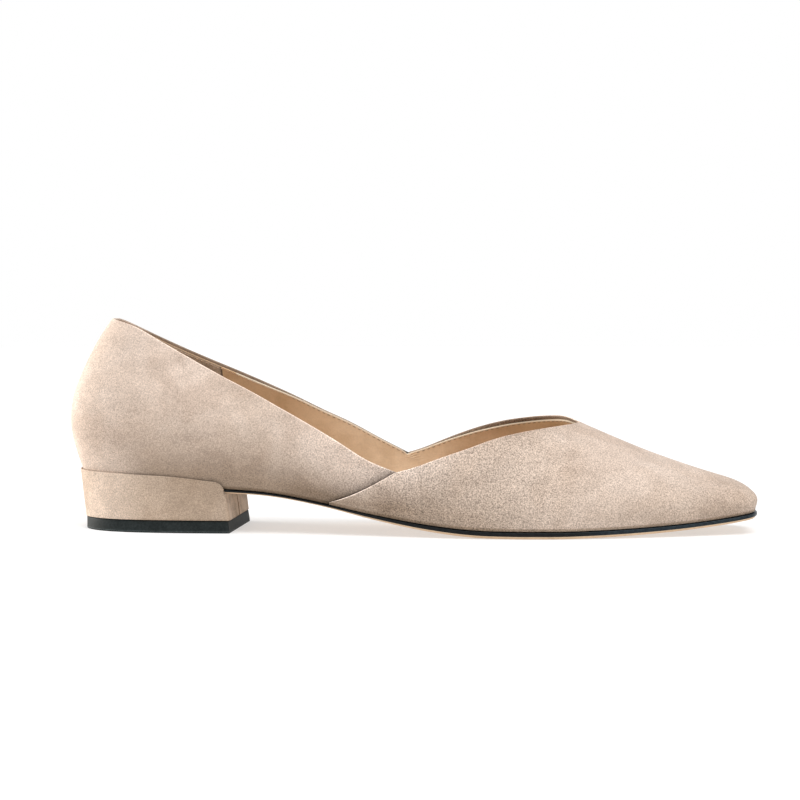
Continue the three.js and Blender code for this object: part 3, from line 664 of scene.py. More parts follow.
flat_zero = np.zeros_like(vamp_high)
vamp_base = wall_rows(vamp_foot, vamp_top, vamp_cut, vamp_shares, flat_zero)
vamp_out = wall_rows(vamp_foot, vamp_top, vamp_cut, vamp_shares, flat_zero + 1) - vamp_base
vamp_edge, vamp_edge_normal = edge_of(vamp_base), edge_of(vamp_out)
vamp_edge_normal /= np.maximum(1e-9, np.linalg.norm(vamp_edge_normal, axis=-1, keepdims=True))
vamp_into = edge_frame(vamp_edge, vamp_edge_normal)


def with_margin(depth):
    """A depth for every row of the margin too: the foot's, down to nothing at the skived edge."""
    return np.concatenate([depth[:, :1] * np.r_[0, np.ones(MARGIN_ROWS - 1)], depth], 1)


edge_high, edge_low = edge_of(with_margin(vamp_high)), edge_of(with_margin(vamp_low))
edge_tuck = np.minimum(EDGE_TUCK, (edge_high - edge_low) / 2)
top_into = vamp_into[MARGIN_ROWS + len(vamp_shares) - 1 :][: 2 * V + 1]
top_tuck = edge_tuck[MARGIN_ROWS + len(vamp_shares) - 1 :][: 2 * V + 1]


def vamp_face(depth, edge_depth):
    """The vamp's face at a depth, drawn in from its edge to where the fold starts."""
    rows = wall_rows(vamp_foot, vamp_top, vamp_cut, vamp_shares, depth)
    into, drawn = np.zeros((len(rows), 3)), np.zeros(len(rows))
    into[: V + 1], into[-V:] = top_into[: V + 1], top_into[V + 1 :]
    drawn[: V + 1], drawn[-V:] = top_tuck[: V + 1], top_tuck[V + 1 :]
    rows = draw_down(rows, into, drawn, 0.85, vamp_shares)
    edge = vamp_edge + vamp_edge_normal * edge_depth[:, None] + vamp_into * edge_tuck[:, None]
    return with_edge(rows, edge)


vamp_rise = np.concatenate([np.zeros(MARGIN_ROWS), vamp_shares])
vamp_rise = vamp_rise * np.ones((len(vamp_foot), 1))
vamp_along = np.concatenate([ahead[:, :1] + np.zeros(MARGIN_ROWS), ahead], 1)
vamp = weld("vamp", [
    (vamp_face(vamp_high, edge_high), vamp_rise, vamp_along),
    (fold(vamp_edge, vamp_edge_normal, vamp_into, edge_high, edge_low, edge_tuck),
     1 + FOLD / np.pi, edge_of(vamp_along)[:, None]),
    (vamp_face(vamp_low, edge_low), 2.0, vamp_along),
])
# painted shade along the vamp's lower part near the sole
VAMP_PAINTED_SHADE = [(0.36, 0.6), (0.5, 0.48)] + [place for place in LOW_LIGHT_AND_SHADE if place[0] > 0.55]
vamp_suede = suede("vamp_suede", *SUEDE_TONES, VAMP_PAINTED_SHADE, HIGH_LIGHT_AND_SHADE, (0.03, 0.6))
vamp.data.materials.append(vamp_suede.material)
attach(vamp, "root")

# LINING. Thin tan leather inside the whole upper, glued to the suede. Its cut edge is pale and
# stands just under the folded edge, a little lower round the throat, and it puckers at the notch.
LINING = 0.62
HEEL_BAND, BAND, THROAT_BAND = 1.1, 0.35, 1.7  # suede over the lining's edge: heel, sides, throat
CREAM = 0.3  # how far the pale finish of the cut edge reaches down the lining's face
GRIP_FRONT = 50.0  # the heel grip covers the lining behind this
PUCKER_DEPTH, PUCKER_WIDTH, PUCKER_REACH = 0.5, 1.1, 30.0
PUCKER_OFF, PUCKER_SLOPE = 4.0, 0.9  # its line passes this far off the notch, and leans

lining_foot = np.concatenate([places[QUARTER_COLUMNS:] / UNDERLAP * LAP_FOOT, half_foot[1:]])
lining_top = np.concatenate([places[QUARTER_COLUMNS:] / UNDERLAP * LAP_TOP, half_top[1:]])
lining_foot = np.concatenate([lining_foot, 2 * TIP - lining_foot[-2::-1]])
lining_top = np.concatenate([lining_top, 2 * TIP - lining_top[-2::-1]])
grip_end = np.interp(GRIP_FRONT / FEATHER_LENGTH, at_row("at", FINE_ROWS), FINE_ROWS)
open_columns = QUARTER_COLUMNS + V + 1
by_line = row_of(lining_top) < LAP_TOP
lining_cut = np.where(by_line, cut_t(lining_top, QUARTER_LINE), cut_t(lining_top, VAMP_LINE))
lining_cut[open_columns - 1 : 1 - open_columns] = 1
lining_shares = np.linspace(0.04, 1, 45)
inner_open = np.zeros(len(lining_top))
inner_open[:open_columns] = inner_open[1 - open_columns :] = 1


def ring_of_rim(values):
    """The columns with an opening above them, from the throat's point back round the heel."""
    return np.concatenate([values[1 - open_columns :], values[1:open_columns]])


rim_ring, rim_cut = ring_of_rim(lining_top), ring_of_rim(lining_cut)
inner_rim, inner_normal = last_form(rim_ring, rim_cut), last_normal(rim_ring, rim_cut)
closing = [-1, *range(len(inner_rim)), 0]
inner_into = edge_frame(inner_rim[closing], inner_normal[closing])[1:-1]
rim_ahead = row_of(rim_ring) - LAP_TOP
band = BAND + (THROAT_BAND - BAND) * smooth(0.3, 2.2, rim_ahead)
band += (HEEL_BAND - BAND) * (1 - smooth(60, 85, at_row("at", row_of(rim_ring)) * FEATHER_LENGTH))


def lining_face(depth):
    """The lining's face at a depth, with its top edge drawn down by the band of suede over it."""
    share = lining_shares[None, :]
    ring = lean(lining_foot, lining_top, share)
    cut = lining_cut[:, None]
    t = cut * share ** mix(1, CREST_EASE, cut)
    rows = last_form(ring, t)
    # the pucker: a short ridge that runs down and back from the inner notch
    x, z = rows[..., 0], rows[..., 2]
    notch_z = BALL_FEATHER + INNER_DIP
    over = (x - NOTCH_X - PUCKER_OFF) + PUCKER_SLOPE * (z - notch_z + PUCKER_OFF)
    reach = (x - NOTCH_X - 1) ** 2 + (z - notch_z + 2) ** 2
    pucker = PUCKER_DEPTH * np.exp(-((over / PUCKER_WIDTH) ** 2) - reach / PUCKER_REACH) * is_inner(ring)
    rows = rows - last_normal(ring, t) * (depth + pucker)[..., None]
    drop = np.zeros((len(rows), 3))
    dropped = inner_into * band[:, None]
    drop[1 - open_columns :], drop[1:open_columns] = np.split(dropped, [open_columns - 1])
    drop[0] = drop[1]
    drop[open_columns - 1] = drop[1 - open_columns] = (drop[open_columns - 1] + drop[1 - open_columns]) / 2
    reach = np.linalg.norm(drop, axis=-1, keepdims=True)
    top = rows[:, -1:] + (drop * (1 + CREAM / np.maximum(reach, BAND)))[:, None]
    rows = rows + drop[:, None] * smooth(0.72, 1, lining_shares)[:, None]
    rows = np.concatenate([rows[:, :-1], top, rows[:, -1:]], 1)
    foot = lining_foot[:, None] + np.zeros(2)
    turned = inset_point(foot, np.array([MARGIN_WIDTH, 2.3]), np.array([1.3, 1.7]))
    return np.concatenate([turned, rows], 1)


inner_face, outer_face = lining_face(WALL), lining_face(WALL - LINING)
pale = inner_open * smooth(grip_end, grip_end + 0.4, row_of(lining_top))
lining_edge = np.concatenate([np.zeros(len(lining_shares) + 1), [1, 1]]) * pale[:, None]


def cut_edge(inner, outer):
    """The lining's cut edge: straight across between its faces, slightly crowned."""
    across = np.linspace(0, 1, 5)[None, :, None]
    crown = 0.12 * np.sin(np.pi * across) * np.array([0, 0, 1])
    return mix(inner[:, None], outer[:, None], across) + crown


def closed_ring(grid):
    """A grid whose first column comes again at its end."""
    return np.concatenate([grid, grid[:1]])


cut_rows = cut_edge(inner_face[:, -1], outer_face[:, -1])
lining = weld("lining", [
    (closed_ring(inner_face), 0.0, closed_ring(lining_edge)),
    (closed_ring(outer_face), 0.0, closed_ring(lining_edge)),
    (cut_rows[:open_columns], 0.0, pale[:open_columns, None]),
    (closed_ring(cut_rows)[-open_columns:], 0.0, closed_ring(pale)[-open_columns:, None]),
], 35)
leather = Finish("lining_leather")
mottle = leather.noise(14, 4.0, 0.6, distortion=0.4)
colour = leather.ramp(mottle, [(0.3, (0.68, 0.455, 0.265)), (0.7, (0.84, 0.59, 0.37))])
# painted light: the lining is paler and lighter towards the notch and at the throat, and darker at the heel
painted_light_along = leather.ramp(leather.length(), [
    (0.3, (0.93, 0.9, 0.85)), (0.47, (1.1, 1.18, 1.28)), (0.6, (0.98, 0.97, 0.97)), (0.7, (1.1, 1.2, 1.25)),
])
colour = leather.times(colour, painted_light_along)
pores = leather.noise(0.7, 3.0, 0.6)
colour = leather.times(colour, leather.ramp(pores, [(0.3, 0.92), (0.6, 1.0)]), 0.8)
at_the_edge = leather.ramp(leather.value("along"), [(0.8, 0.0), (0.95, 1.0)])
colour = leather.blend(colour, (0.86, 0.73, 0.56), at_the_edge)
creases = leather.bump(leather.noise(4.5, 3.0, 0.6, stretch=(0.45, 1, 1.6), distortion=0.6), 0.25, 0.5)
leather.shade(Base_Color=colour, Roughness=0.5, Specular_IOR_Level=0.4,
              Normal=leather.bump(pores, 0.06, 0.5, creases))
lining.data.materials.append(leather.material)
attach(lining, "root")
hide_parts("upper")

# HEEL GRIP. A piece of brown suede glued over the lining round the heel, whose front edges are cut
# straight and stitched down.
GRIP = 0.35
GRIP_COLUMNS = np.linspace(-1, 1, 121)
GRIP_LAP = 0.05  # how deep the grip's back sinks into the lining

grip_ring = grip_end * GRIP_COLUMNS
grip_cut = cut_t(grip_ring, QUARTER_LINE)
grip_rim, grip_normal = last_form(grip_ring, grip_cut), last_normal(grip_ring, grip_cut)
grip_into = edge_frame(grip_rim, grip_normal)
grip_shares = np.linspace(0.05, 1, 40)


def grip_face(depth):
    """The grip's face at a depth, drawn down under the band of suede over it."""
    share = grip_shares[None, :]
    t = grip_cut[:, None] * share
    ring = grip_ring[:, None] + 0 * share
    rows = last_form(ring, t) - last_normal(ring, t) * depth[..., None]
    return rows + grip_into[:, None] * (HEEL_BAND - 0.1) * smooth(0.8, 1, grip_shares)[:, None]


edge_round = np.minimum(1, (1 - np.abs(GRIP_COLUMNS)) * 60)[:, None]
edge_round = edge_round * np.minimum(1, (1 - grip_shares) * 30)
edge_round = np.sqrt(1 - (1 - edge_round) ** 2)
grip_along = np.abs(GRIP_COLUMNS)[:, None]
grip_faces = [grip_face(WALL + GRIP * edge_round), grip_face(WALL - GRIP_LAP + 0 * edge_round)]
grip = weld("heel_grip", [
    (grip_faces[0], grip_shares, grip_along),
    (grip_faces[1], grip_shares, 0.0),
    *((np.stack([face[:, end] for face in grip_faces], 1), 0.0, 0.0) for end in (0, -1)),
    *((np.stack([face[end] for face in grip_faces], 1), 0.0, 0.0) for end in (0, -1)),
])
grip_suede = suede("grip_suede", (0.56, 0.44, 0.33), (0.49, 0.37, 0.27), (0.40, 0.29, 0.20))
# painted shade along the grip's cut front edges
front_shade = grip_suede.ramp(grip_suede.value("along"), [(0.991, 1.0), (0.994, 0.3)])
grip_suede.tint(front_shade)
grip.data.materials.append(grip_suede.material)
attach(grip, "root")

# TOPLINE STITCHES. Brown thread that holds the folded edge to the lining, one row of short stitches
# a millimetre under the lining's edge, from the collar's back to the throat on both sides.
STITCH_PITCH, STITCH_LENGTH, THREAD = 2.2, 1.4, 0.12
STITCH_DROP = 0.6
STITCH_CLEAR = 0.02

sunk = WALL + STITCH_CLEAR + GRIP * (row_of(rim_ring) < grip_end)
seam = inner_rim + inner_into * (band + STITCH_DROP)[:, None] - inner_normal * sunk[:, None]
seam_length = np.r_[0, np.cumsum(np.linalg.norm(np.diff(seam, axis=0), axis=1))]
starts = np.arange(STITCH_PITCH, seam_length[-1] - STITCH_PITCH, STITCH_PITCH)
stitch_step = np.linspace(-1, 1, 9)
where = starts[:, None] + stitch_step * STITCH_LENGTH / 2


def along_seam(values, where):
    """Each column of values, read off at lengths along the seam."""
    return np.stack([np.interp(where, seam_length, values[:, i]) for i in range(3)], -1)


around = np.linspace(0, 2 * np.pi, 9)
thick = THREAD * np.sqrt(1 - 0.96 * stitch_step**2)[None, :, None, None]
centre = along_seam(seam, where)[:, :, None]
side_way = along_seam(inner_into, where)[:, :, None] * np.cos(around)[:, None]
out_way = along_seam(inner_normal, where)[:, :, None] * np.sin(around)[:, None]
rings = centre + thick * (side_way + out_way)
ends = np.repeat(centre[:, [0, -1]], len(around), axis=2)
rings = np.concatenate([ends[:, :1], rings, ends[:, 1:]], 1)
stitches = weld("topline_stitches", [(one, 0.0, 0.0) for one in rings])
thread = Finish("brown_thread")
twist = thread.noise(0.35, 1.0, 0.5)
colour = thread.ramp(twist, [(0.3, (0.22, 0.135, 0.08)), (0.7, (0.40, 0.27, 0.17))])
at_the_grip = thread.ramp(thread.length(), [(0.28, (2.0, 2.1, 2.2)), (0.36, 1.0)])
thread.shade(Base_Color=thread.times(colour, at_the_grip),
             Roughness=0.6, Normal=thread.bump(twist, 0.05))
stitches.data.materials.append(thread.material)
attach(stitches, "root")

# INSOLE SOCK. Tan leather over the insole board, which lies on the lasting margin. It is glued down
# and closes the shoe's floor from the heel to the toe.
INSOLE = 2.4
SOCK_RING = np.linspace(0, 2 * TIP, 8 * TIP + 1)
SOCK_SAG, SOCK_SAG_REACH = 0.25, 6.0  # the sock is this much thinner at its edge
SOCK_SIDE = table("inset height", [(0, .3), (0, INSOLE - .8), (.15, INSOLE - .4)])


def across_bottom(ring, edge, steps, height):
    """A face across the last's bottom: from an inset edge to the spine, by even steps, at a height
    that may depend on the way in."""
    point, _ = feather(ring)
    middle = spine(row_of(ring))
    way = (middle - point)[..., :2]
    far = np.linalg.norm(way, axis=-1)
    inset = mix(np.minimum(edge, DEEPEST * far)[:, None], far[:, None], steps)
    plan = point[:, None, :2] + (way / far[:, None])[:, None] * inset[..., None]
    lift = height(inset, plan[..., 0])
    return np.concatenate([plan, (bottom_height(plan[..., 0]) + lift)[..., None]], -1)


sock_edge = WALL + 2 * GAP
sock_low = WALL + GAP
sock_steps = np.linspace(0, 1, 12)
sock_top = across_bottom(
    SOCK_RING, sock_edge + 0.5, sock_steps,
    lambda inset, x: sock_low + INSOLE - SOCK_SAG * np.exp(-inset / SOCK_SAG_REACH) + 0 * x,
)
sock_under = across_bottom(SOCK_RING, sock_edge + 0.3, sock_steps, lambda inset, x: sock_low + 0 * x)
sock_side = [
    inset_point(SOCK_RING, sock_edge + inset, sock_low + height + 0 * SOCK_RING)
    for inset, height in zip(SOCK_SIDE["inset"], SOCK_SIDE["height"])
]
sock_side = np.stack([sock_under[:, 0], *sock_side, sock_top[:, 0]], 1)
sock = weld("insole_sock", [(sock_top, 1.0, 0.0), (sock_under, 0.0, 0.0), (sock_side, 0.5, 0.0)])
sock_leather = Finish("sock_leather")
mottle = sock_leather.noise(20, 4.0, 0.6)
pores = sock_leather.noise(0.8, 3.0, 0.6)
colour = sock_leather.ramp(mottle, [(0.3, (0.42, 0.27, 0.16)), (0.7, (0.56, 0.38, 0.24))])
colour = sock_leather.times(colour, sock_leather.ramp(pores, [(0.3, 0.85), (0.6, 1.0)]), 0.8)
sock_leather.shade(Base_Color=colour, Roughness=0.5, Specular_IOR_Level=0.35,
                   Normal=sock_leather.bump(pores, 0.12, 0.6))
sock.data.materials.append(sock_leather.material)
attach(sock, "root")
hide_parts("insole")

# OUTSOLE. Thin leather, cemented under the upper from the toe to the heel's back. Its edge is
# painted black and waxed, and its lower corner is cut to a bevel that shows the bare tan leather.
BEVEL_WIDTH = 1.1
WAIST_CAMBER, CAMBER_INSET = 0.8, 14.0
EDGE_PLACES = table("inset depth black", [
    (.3, 0, 1), (.12, .03, 1), (0, .12, 1), (0, .32, 1), (0, .53, 1), (.1, .59, 1), (.3, .62, 1),
    (.34, .64, 0), (.7, .83, 0), (1.1, 1, 0),
])
TOE_EDGE = 0.7  # how far the sole's edge stands out ahead of the feather line at the toe
SOLE_RING = np.linspace(0, 2 * TIP, 16 * TIP + 1)


def sole_out(ring):
    """The edge's way out from the feather line: nothing, but round the toe."""
    return TOE_EDGE * smooth(0.9, 1, at_row("at", row_of(ring)))


def sole_drop(ring, x, depth):
    """How far the sole's face lies under the last's bottom: the gap and a share of its thickness,
    but never under the floor."""
    drop = GAP + SOLE_THICKNESS * at_row("sole", row_of(ring)) * depth
    return -np.minimum(drop, bottom_height(x))


def sole_under(inset, x):
    """The underside's drop, with the waist's camber added behind the bevel."""
    at = at_row("at", row_of(SOLE_RING))[:, None]
    waist = np.sin(np.pi * np.clip((at - QUARTER_END) / (VAMP_START - QUARTER_END), 0, 1)) ** 2
    thickness = SOLE_THICKNESS * at_row("sole", row_of(SOLE_RING))[:, None]
    drop = GAP + thickness + WAIST_CAMBER * waist * smooth(BEVEL_WIDTH, CAMBER_INSET, inset)
    return -np.minimum(drop, bottom_height(x))


def sole_loop(inset, depth):
    """A loop round the sole's edge, at an inset and at a share of its thickness."""
    inset = inset - sole_out(SOLE_RING)
    x = inset_point(SOLE_RING, inset, 0.0 * SOLE_RING)[:, 0]
    return inset_point(SOLE_RING, inset, sole_drop(SOLE_RING, x, depth))


sole_edge = [sole_loop(inset, depth) for inset, depth in zip(EDGE_PLACES["inset"], EDGE_PLACES["depth"])]
sole_edge = np.stack(sole_edge, 1)
sole_bottom = across_bottom(
    SOLE_RING, BEVEL_WIDTH - sole_out(SOLE_RING), np.linspace(0, 1, 14), sole_under
)
sole_top = across_bottom(
    SOLE_RING, EDGE_PLACES["inset"][0] - sole_out(SOLE_RING), np.linspace(0, 1, 3),
    lambda inset, x: -GAP + 0 * x,
)
outsole = weld("outsole", [
    (sole_edge, EDGE_PLACES["black"], 0.0),
    (sole_bottom, 0.0, 0.0),
    (sole_top, 1.0, 0.0),
], 40)
sole = Finish("sole_leather")
fleck = sole.noise(1.4, 3.0, 0.6)
cloud = sole.noise(22, 3.0, 0.6)
tan = sole.ramp(cloud, [(0.3, (0.60, 0.42, 0.27)), (0.7, (0.72, 0.53, 0.36))])
tan = sole.times(tan, sole.ramp(fleck, [(0.3, 0.85), (0.6, 1.0)]), 0.8)
black = sole.ramp(fleck, [(0.3, (0.004, 0.005, 0.006)), (0.7, (0.009, 0.011, 0.012))])
# painted reflection: the black edge is lightened to a bluish gloss towards the toe
painted_toe_gloss = sole.ramp(sole.length(), [(0.74, 1.0), (0.8, (2.4, 3.0, 3.4))])
black = sole.times(black, painted_toe_gloss)
painted = sole.ramp(sole.value("rise"), [(0.45, 0.0), (0.55, 1.0)])
sole.shade(Base_Color=sole.blend(tan, black, painted),
           Roughness=sole.ramp(painted, [(0.0, 0.62), (1.0, 0.34)]), Specular_IOR_Level=0.14,
           Normal=sole.bump(fleck, 0.05, 0.5))
outsole.data.materials.append(sole.material)
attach(outsole, "root")
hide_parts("outsole")

# HEEL. A low wooden block covered in the upper's suede, which is glued round it, turned in at both
# ends and joined by a seam down the middle of the breast. Its cupped rim laps up the upper.
HEEL_TOP_AT = 0.2275
BREAST_FLARE = 1.5
SIDE_TAPER, BACK_TAPER = 0.7, 0.2
EAR_RISE, EAR_RADIUS, CORNER_RADIUS = 3.6, 4.2, 1.5
EAR_FALL, EAR_FALL_LENGTH = 1.1, 24.0
LIP = 0.6
LIFT = 4.5
SEAM_DEPTH, SEAM_WIDTH, SEAM_BOW = 0.45, 0.4, 0.9
RIM_CROWN = 0.16
BREAST_X = HEEL_TOP_AT * FEATHER_LENGTH
HEEL_FACE = np.linspace(0, 1, 25)


def seat_height(row):
    """The heel's seat: under the outsole by a gap."""
    return feather(row)[0][..., 2] - 2 * GAP - SOLE_THICKNESS * at_row("sole", row)


def rim_height(row, behind):
    """The rim: above the feather line, sinking forwards, its front corners rounded to the seat."""
    ear = EAR_RISE - EAR_FALL * (1 - smooth(0, EAR_FALL_LENGTH, behind))
    rise = feather(row)[0][..., 2] + ear - seat_height(row)
    corner = 1 - np.clip(behind / EAR_RADIUS, 0, 1)
    return seat_height(row) + rise * np.sqrt(1 - corner**2)


def rim_reach(ring, row, behind):
    """How far the rim's inner edge stands outside the feather line, clear of the upper."""
    point, out = feather(ring)
    above = rim_height(row, behind) - point[..., 2] - FEATHER_RADIUS
    t = np.maximum(0, above) / (WALL_TOP * COLLAR_HEIGHT)
    return ((last_form(ring, t) - point) * out).sum(-1) + GAP


def taper_at(ring):
    """How far the heel's foot stands in from the feather line: blended as the quarter's form."""
    return mix(BACK_TAPER, SIDE_TAPER, feather(ring)[1][..., 1] ** 2)


HEEL_SIDE, HEEL_EAR = 56, 18  # points on one side of a loop, and round its ear
HEEL_ACROSS, ACROSS_GATHER = 41, 1.8  # points across the breast, drawn together at its seam


def heel_loop(breast, place, seam_depth=0.0, seam_shift=0.0, turn=0.0):
    """A loop round the heel: along the feather line from the back to the breast, across it, and
    back on the other side. place gives height, reach and corner rounding of each point, and turn
    is how far the breast's inner end stands ahead of its outer end."""
    sides = []
    for side in (1, -1):
        front = breast - side * turn / 2
        ear = 1 - np.sin(np.linspace(0, np.pi / 2, HEEL_EAR + 1))
        ear_at = (front - ear * EAR_RADIUS) / FEATHER_LENGTH
        ear_rows = np.interp(ear_at, at_row("at", FINE_ROWS), FINE_ROWS)
        stations = np.concatenate([np.linspace(0, ear_rows[0], HEEL_SIDE), ear_rows[1:]])
        behind = np.maximum(0, front - at_row("at", stations) * FEATHER_LENGTH)
        point, out = feather(side * stations)
        height, reach, rounding = place(side * stations, stations, behind)
        corner = 1 - np.clip(behind / CORNER_RADIUS, 0, 1)
        point = point + out * (reach - rounding * (1 - np.sqrt(1 - corner**2)))[:, None]
        point[:, 2] = height
        point[-1, 0] = front
        sides.append(point)
    share = np.linspace(-1, 1, HEEL_ACROSS)[1:-1]
    share = 0.5 + 0.5 * np.sign(share) * np.abs(share) ** ACROSS_GATHER
    front = mix(sides[0][-1], sides[1][-1], share[:, None])
    y = front[:, 1] - (sides[0][-1, 1] + sides[1][-1, 1]) / 2 - seam_shift
    front[:, 0] -= seam_depth * np.exp(-((y / SEAM_WIDTH) ** 2))
    return np.concatenate([sides[0], front, sides[1][::-1]])


def heel_ring(share):
    """A loop of the heel's outer face: it leans out from its foot to the rim."""
    def place(ring, row, behind):
        top = rim_reach(ring, row, behind) + LIP
        rim = rim_height(row, behind)
        foot = LIFT + GAP
        return mix(foot, rim, share), mix(-taper_at(ring), top, share), CORNER_RADIUS * (share < 0.999)
    bow = SEAM_BOW * np.sin(np.pi * share)
    return heel_loop(BREAST_X + BREAST_FLARE * (1 - share), place, SEAM_DEPTH, bow)


def rim_inside(ring, row, behind):
    """The rim's inner edge, against the upper."""
    return rim_height(row, behind), rim_reach(ring, row, behind), 0.0


def rim_crown(ring, row, behind):
    """The rim's top, midway between its edges."""
    return rim_height(row, behind) + RIM_CROWN, rim_reach(ring, row, behind) + LIP / 2, 0.0


def seat(ring, row, behind):
    """The cup's floor, under the sole."""
    return seat_height(row), GAP + 0 * row, 0.0


def closing_face(loop):
    """A face inside a loop: straight from each point to the loop's middle."""
    return mix(loop[:, None], loop.mean(0), np.linspace(0, 1, 3)[:, None])


heel_rows = [heel_ring(share) for share in HEEL_FACE]
heel_rows += [
    heel_loop(BREAST_X - 0.1, rim_crown),
    heel_loop(BREAST_X - GAP, rim_inside),
    heel_loop(BREAST_X - 2 * GAP, seat),
]
heel_shell = np.stack(heel_rows, 1)
heel_rise = np.concatenate([HEEL_FACE, [1.2, 2, 2]])
# along is 1 across the breast, and up to 2 in its seam
across = slice(HEEL_SIDE + HEEL_EAR, -HEEL_SIDE - HEEL_EAR)
heel_along = np.zeros(heel_shell.shape[:2])
heel_along[across] = 1
sunk = BREAST_X + BREAST_FLARE * (1 - HEEL_FACE) - heel_shell[across, : len(HEEL_FACE), 0]
heel_along[across, : len(HEEL_FACE)] += np.maximum(0, sunk) / SEAM_DEPTH
heel = weld("heel_cover", [
    (heel_shell, heel_rise, heel_along),
    (closing_face(heel_shell[:, 0]), 0.0, 0.0),
    (closing_face(heel_shell[:, -1]), 1.0, 0.0),
], 60)
# painted light at the heel's back and painted shade towards the breast, low near the lift and high up the
# cover
COVER_LOW_LIGHT_AND_SHADE = [(0.03, 1.2), (0.05, 1.25), (0.08, 1.12), (0.14, 0.86), (0.19, 0.72), (0.26, 0.76)]
COVER_HIGH_LIGHT_AND_SHADE = [(0.03, 1.25), (0.05, 1.3), (0.08, 1.12), (0.14, 0.84), (0.19, 0.68), (0.26, 0.7)]
# painted shade at the cover's foot, on its rim's crown and inside the rim
heel_suede = suede("heel_suede", (0.60, 0.475, 0.38), (0.55, 0.43, 0.335), (0.46, 0.35, 0.265),
                   COVER_LOW_LIGHT_AND_SHADE, COVER_HIGH_LIGHT_AND_SHADE, (0.06, 0.8), 0.45, 0.25)
# painted light across the breast's face, greyer there, and painted shade in the seam down its middle
breast_light_seam_shade = heel_suede.ramp(
    heel_suede.sum(heel_suede.value("along"), 0.5, "MULTIPLY"),
    [(0.4, 1.0), (0.5, (1.13, 1.2, 1.27)), (0.54, (1.0, 1.06, 1.1)), (0.64, (0.2, 0.14, 0.1))],
)
rubbed = heel_suede.ramp(heel_suede.noise(4.5, 3.0, 0.6), [(0.35, 0.8), (0.62, 1.08)])
on_breast = heel_suede.ramp(heel_suede.value("along"), [(0.9, 0.0), (1.0, 1.0)])
breast_light_seam_shade = heel_suede.times(breast_light_seam_shade, rubbed, on_breast)
heel_suede.tint(breast_light_seam_shade)
heel.data.materials.append(heel_suede.material)
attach(heel, "root")
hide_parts("heel_block")

# TOP LIFT. Charcoal rubber, moulded, nailed and glued to the heel's foot, a little smaller than the
# cover. Its breast leans and is not quite square to the shoe, and its lower edge is cut sharp.
LIFT_INSET, LIFT_CORNER = 0.35, 0.5
LIFT_LEAD, LIFT_SLANT, LIFT_TURN = 0.2, 0.7, 0.4
LIFT_PLACES = table("inset height", [
    (.2, 0), (.08, .05), (.02, .12), (0, .3), (0, .55), (0, .9), (0, 1.8), (0, 3), (0, 4.2), (.05, 4.4),
    (.2, 4.5),
])


def lift_ring(inset, height):
    """A loop of the lift: its breast leans back evenly on its way up."""
    def place(ring, row, behind):
        return height + 0 * row, -taper_at(ring) - LIFT_INSET - inset, LIFT_CORNER
    breast = BREAST_X + BREAST_FLARE + LIFT_LEAD - inset - LIFT_SLANT * height / LIFT
    return heel_loop(breast, place, turn=LIFT_TURN)


lift_shell = np.stack([lift_ring(i, h) for i, h in zip(LIFT_PLACES["inset"], LIFT_PLACES["height"])], 1)
# along is 1 across the breast
lift_along = np.zeros(lift_shell.shape[:2])
lift_along[across] = 1
lift = weld("top_lift", [
    (lift_shell, LIFT_PLACES["height"] / LIFT, lift_along),
    (closing_face(lift_shell[:, 0]), 0.0, 0.0),
    (closing_face(lift_shell[:, -1]), 1.0, 0.0),
], 40)
rubber = Finish("lift_rubber")
speckle = rubber.noise(0.8, 3.0, 0.65)
scuff = rubber.noise(9, 3.0, 0.6)
colour = rubber.ramp(speckle, [(0.3, (0.012, 0.016, 0.016)), (0.7, (0.022, 0.027, 0.027))])
colour = rubber.times(colour, rubber.ramp(scuff, [(0.3, 0.85), (0.7, 1.2)]))
# painted shade along the lift's bottom edge under a painted highlight on its bevel
painted_bevel_light_and_shade = rubber.ramp(rubber.value("rise"), [
    (0.06, 0.15), (0.08, 0.2), (0.1, 3.5), (0.13, 3.5), (0.16, 1.0),
], False)
colour = rubber.times(colour, painted_bevel_light_and_shade)
# painted shade on the lift's breast face
ahead = rubber.ramp(rubber.value("along"), [(0.5, 1.0), (0.9, 0.68)])
colour = rubber.times(colour, ahead)
rubber.shade(Base_Color=colour, Roughness=0.6, Specular_IOR_Level=0.1,
             Normal=rubber.bump(speckle, 0.06, 0.6))
lift.data.materials.append(rubber.material)
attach(lift, "root")
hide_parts("top_lift")

# STAGE. A plain pale floor, a surround that is white low down and grey overhead, one wide soft light
# over the shoe and a warm strip behind the heel.
FLOOR_RADIUS, FLOOR_DROP, FLOOR_SIDES = 5.0, 0.0001, 96
floor_mesh = bpy.data.meshes.new("floor")
turns = np.linspace(0, 2 * np.pi, FLOOR_SIDES + 1)[:-1]
corners = np.stack([np.cos(turns), np.sin(turns), 0 * turns], 1) * FLOOR_RADIUS - [0, 0, FLOOR_DROP]
floor_mesh.from_pydata(corners.tolist(), [], [list(range(FLOOR_SIDES))])
floor = bpy.data.objects.new("floor", floor_mesh)
bpy.context.scene.collection.objects.link(floor)
paper = Finish("floor_paper")
paper.shade(Base_Color=(0.5, 0.5, 0.5), Roughness=0.9, Specular_IOR_Level=0.1,
            Emission_Color=(1.0, 1.0, 1.0), Emission_Strength=0.5)
floor.data.materials.append(paper.material)

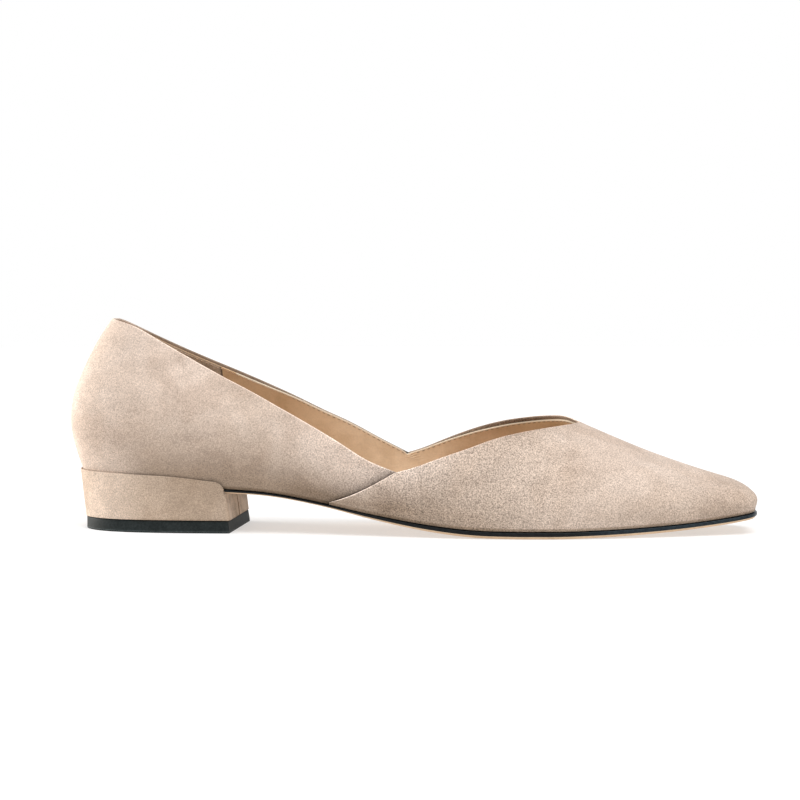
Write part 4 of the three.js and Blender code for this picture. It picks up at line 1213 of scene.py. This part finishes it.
world = bpy.data.worlds.new("surround")
bpy.context.scene.world = world
world.use_nodes = True
sky = world.node_tree.nodes
ray = sky.new("ShaderNodeTexCoord")
split = sky.new("ShaderNodeSeparateXYZ")
height_ramp = sky.new("ShaderNodeValToRGB")
world.node_tree.links.new(ray.outputs["Generated"], split.inputs[0])
world.node_tree.links.new(split.outputs["Z"], height_ramp.inputs["Fac"])
world.node_tree.links.new(height_ramp.outputs["Color"], sky["Background"].inputs["Color"])
height_ramp.color_ramp.interpolation = "EASE"
height_ramp.color_ramp.elements[0].position = 0.15
height_ramp.color_ramp.elements[0].color = (1, 1, 1, 1)
height_ramp.color_ramp.elements[1].position = 0.4
height_ramp.color_ramp.elements[1].color = (0.4, 0.4, 0.41, 1)


def shine_on(light, place, aim):
    """Puts a light at a place and turns it to face a point."""
    lamp = bpy.data.objects.new(light.name, light)
    lamp.location = place
    lamp.rotation_euler = (Vector(aim) - Vector(place)).to_track_quat("-Z", "Y").to_euler()
    bpy.context.scene.collection.objects.link(lamp)


overhead = bpy.data.lights.new("overhead", "SUN")
overhead.energy, overhead.angle = 2.6, np.radians(50)
shine_on(overhead, (0.25, -0.4, 1.0), (0, 0, 0))
strip = bpy.data.lights.new("heel_strip", "AREA")
strip.shape, strip.size, strip.size_y = "RECTANGLE", 0.25, 0.4
strip.energy, strip.color = 7.0, (1.0, 0.94, 0.87)
shine_on(strip, (-0.8, 0.25, 0.15), (-0.12, 0, 0.03))

# CAMERA. The photograph's view of the outer side, a little ahead of square and a little above.
AZIMUTH, ELEVATION, DISTANCE = np.radians(4.43), np.radians(2.24), 0.8
target = np.array([-0.004045, 0.00095, 0.0492])
way = np.array([
    np.sin(AZIMUTH) * np.cos(ELEVATION), -np.cos(AZIMUTH) * np.cos(ELEVATION), np.sin(ELEVATION)
])
camera_data = bpy.data.cameras.new("camera")
camera_data.lens, camera_data.sensor_width = 93.96, 36
camera_data.clip_start = 0.01
camera = bpy.data.objects.new("camera", camera_data)
camera.location = target + DISTANCE * way
camera.rotation_euler = (-Vector(way)).to_track_quat("-Z", "Y").to_euler()
bpy.context.scene.collection.objects.link(camera)
bpy.context.scene.camera = camera
bpy.context.scene.view_settings.view_transform = "Standard"
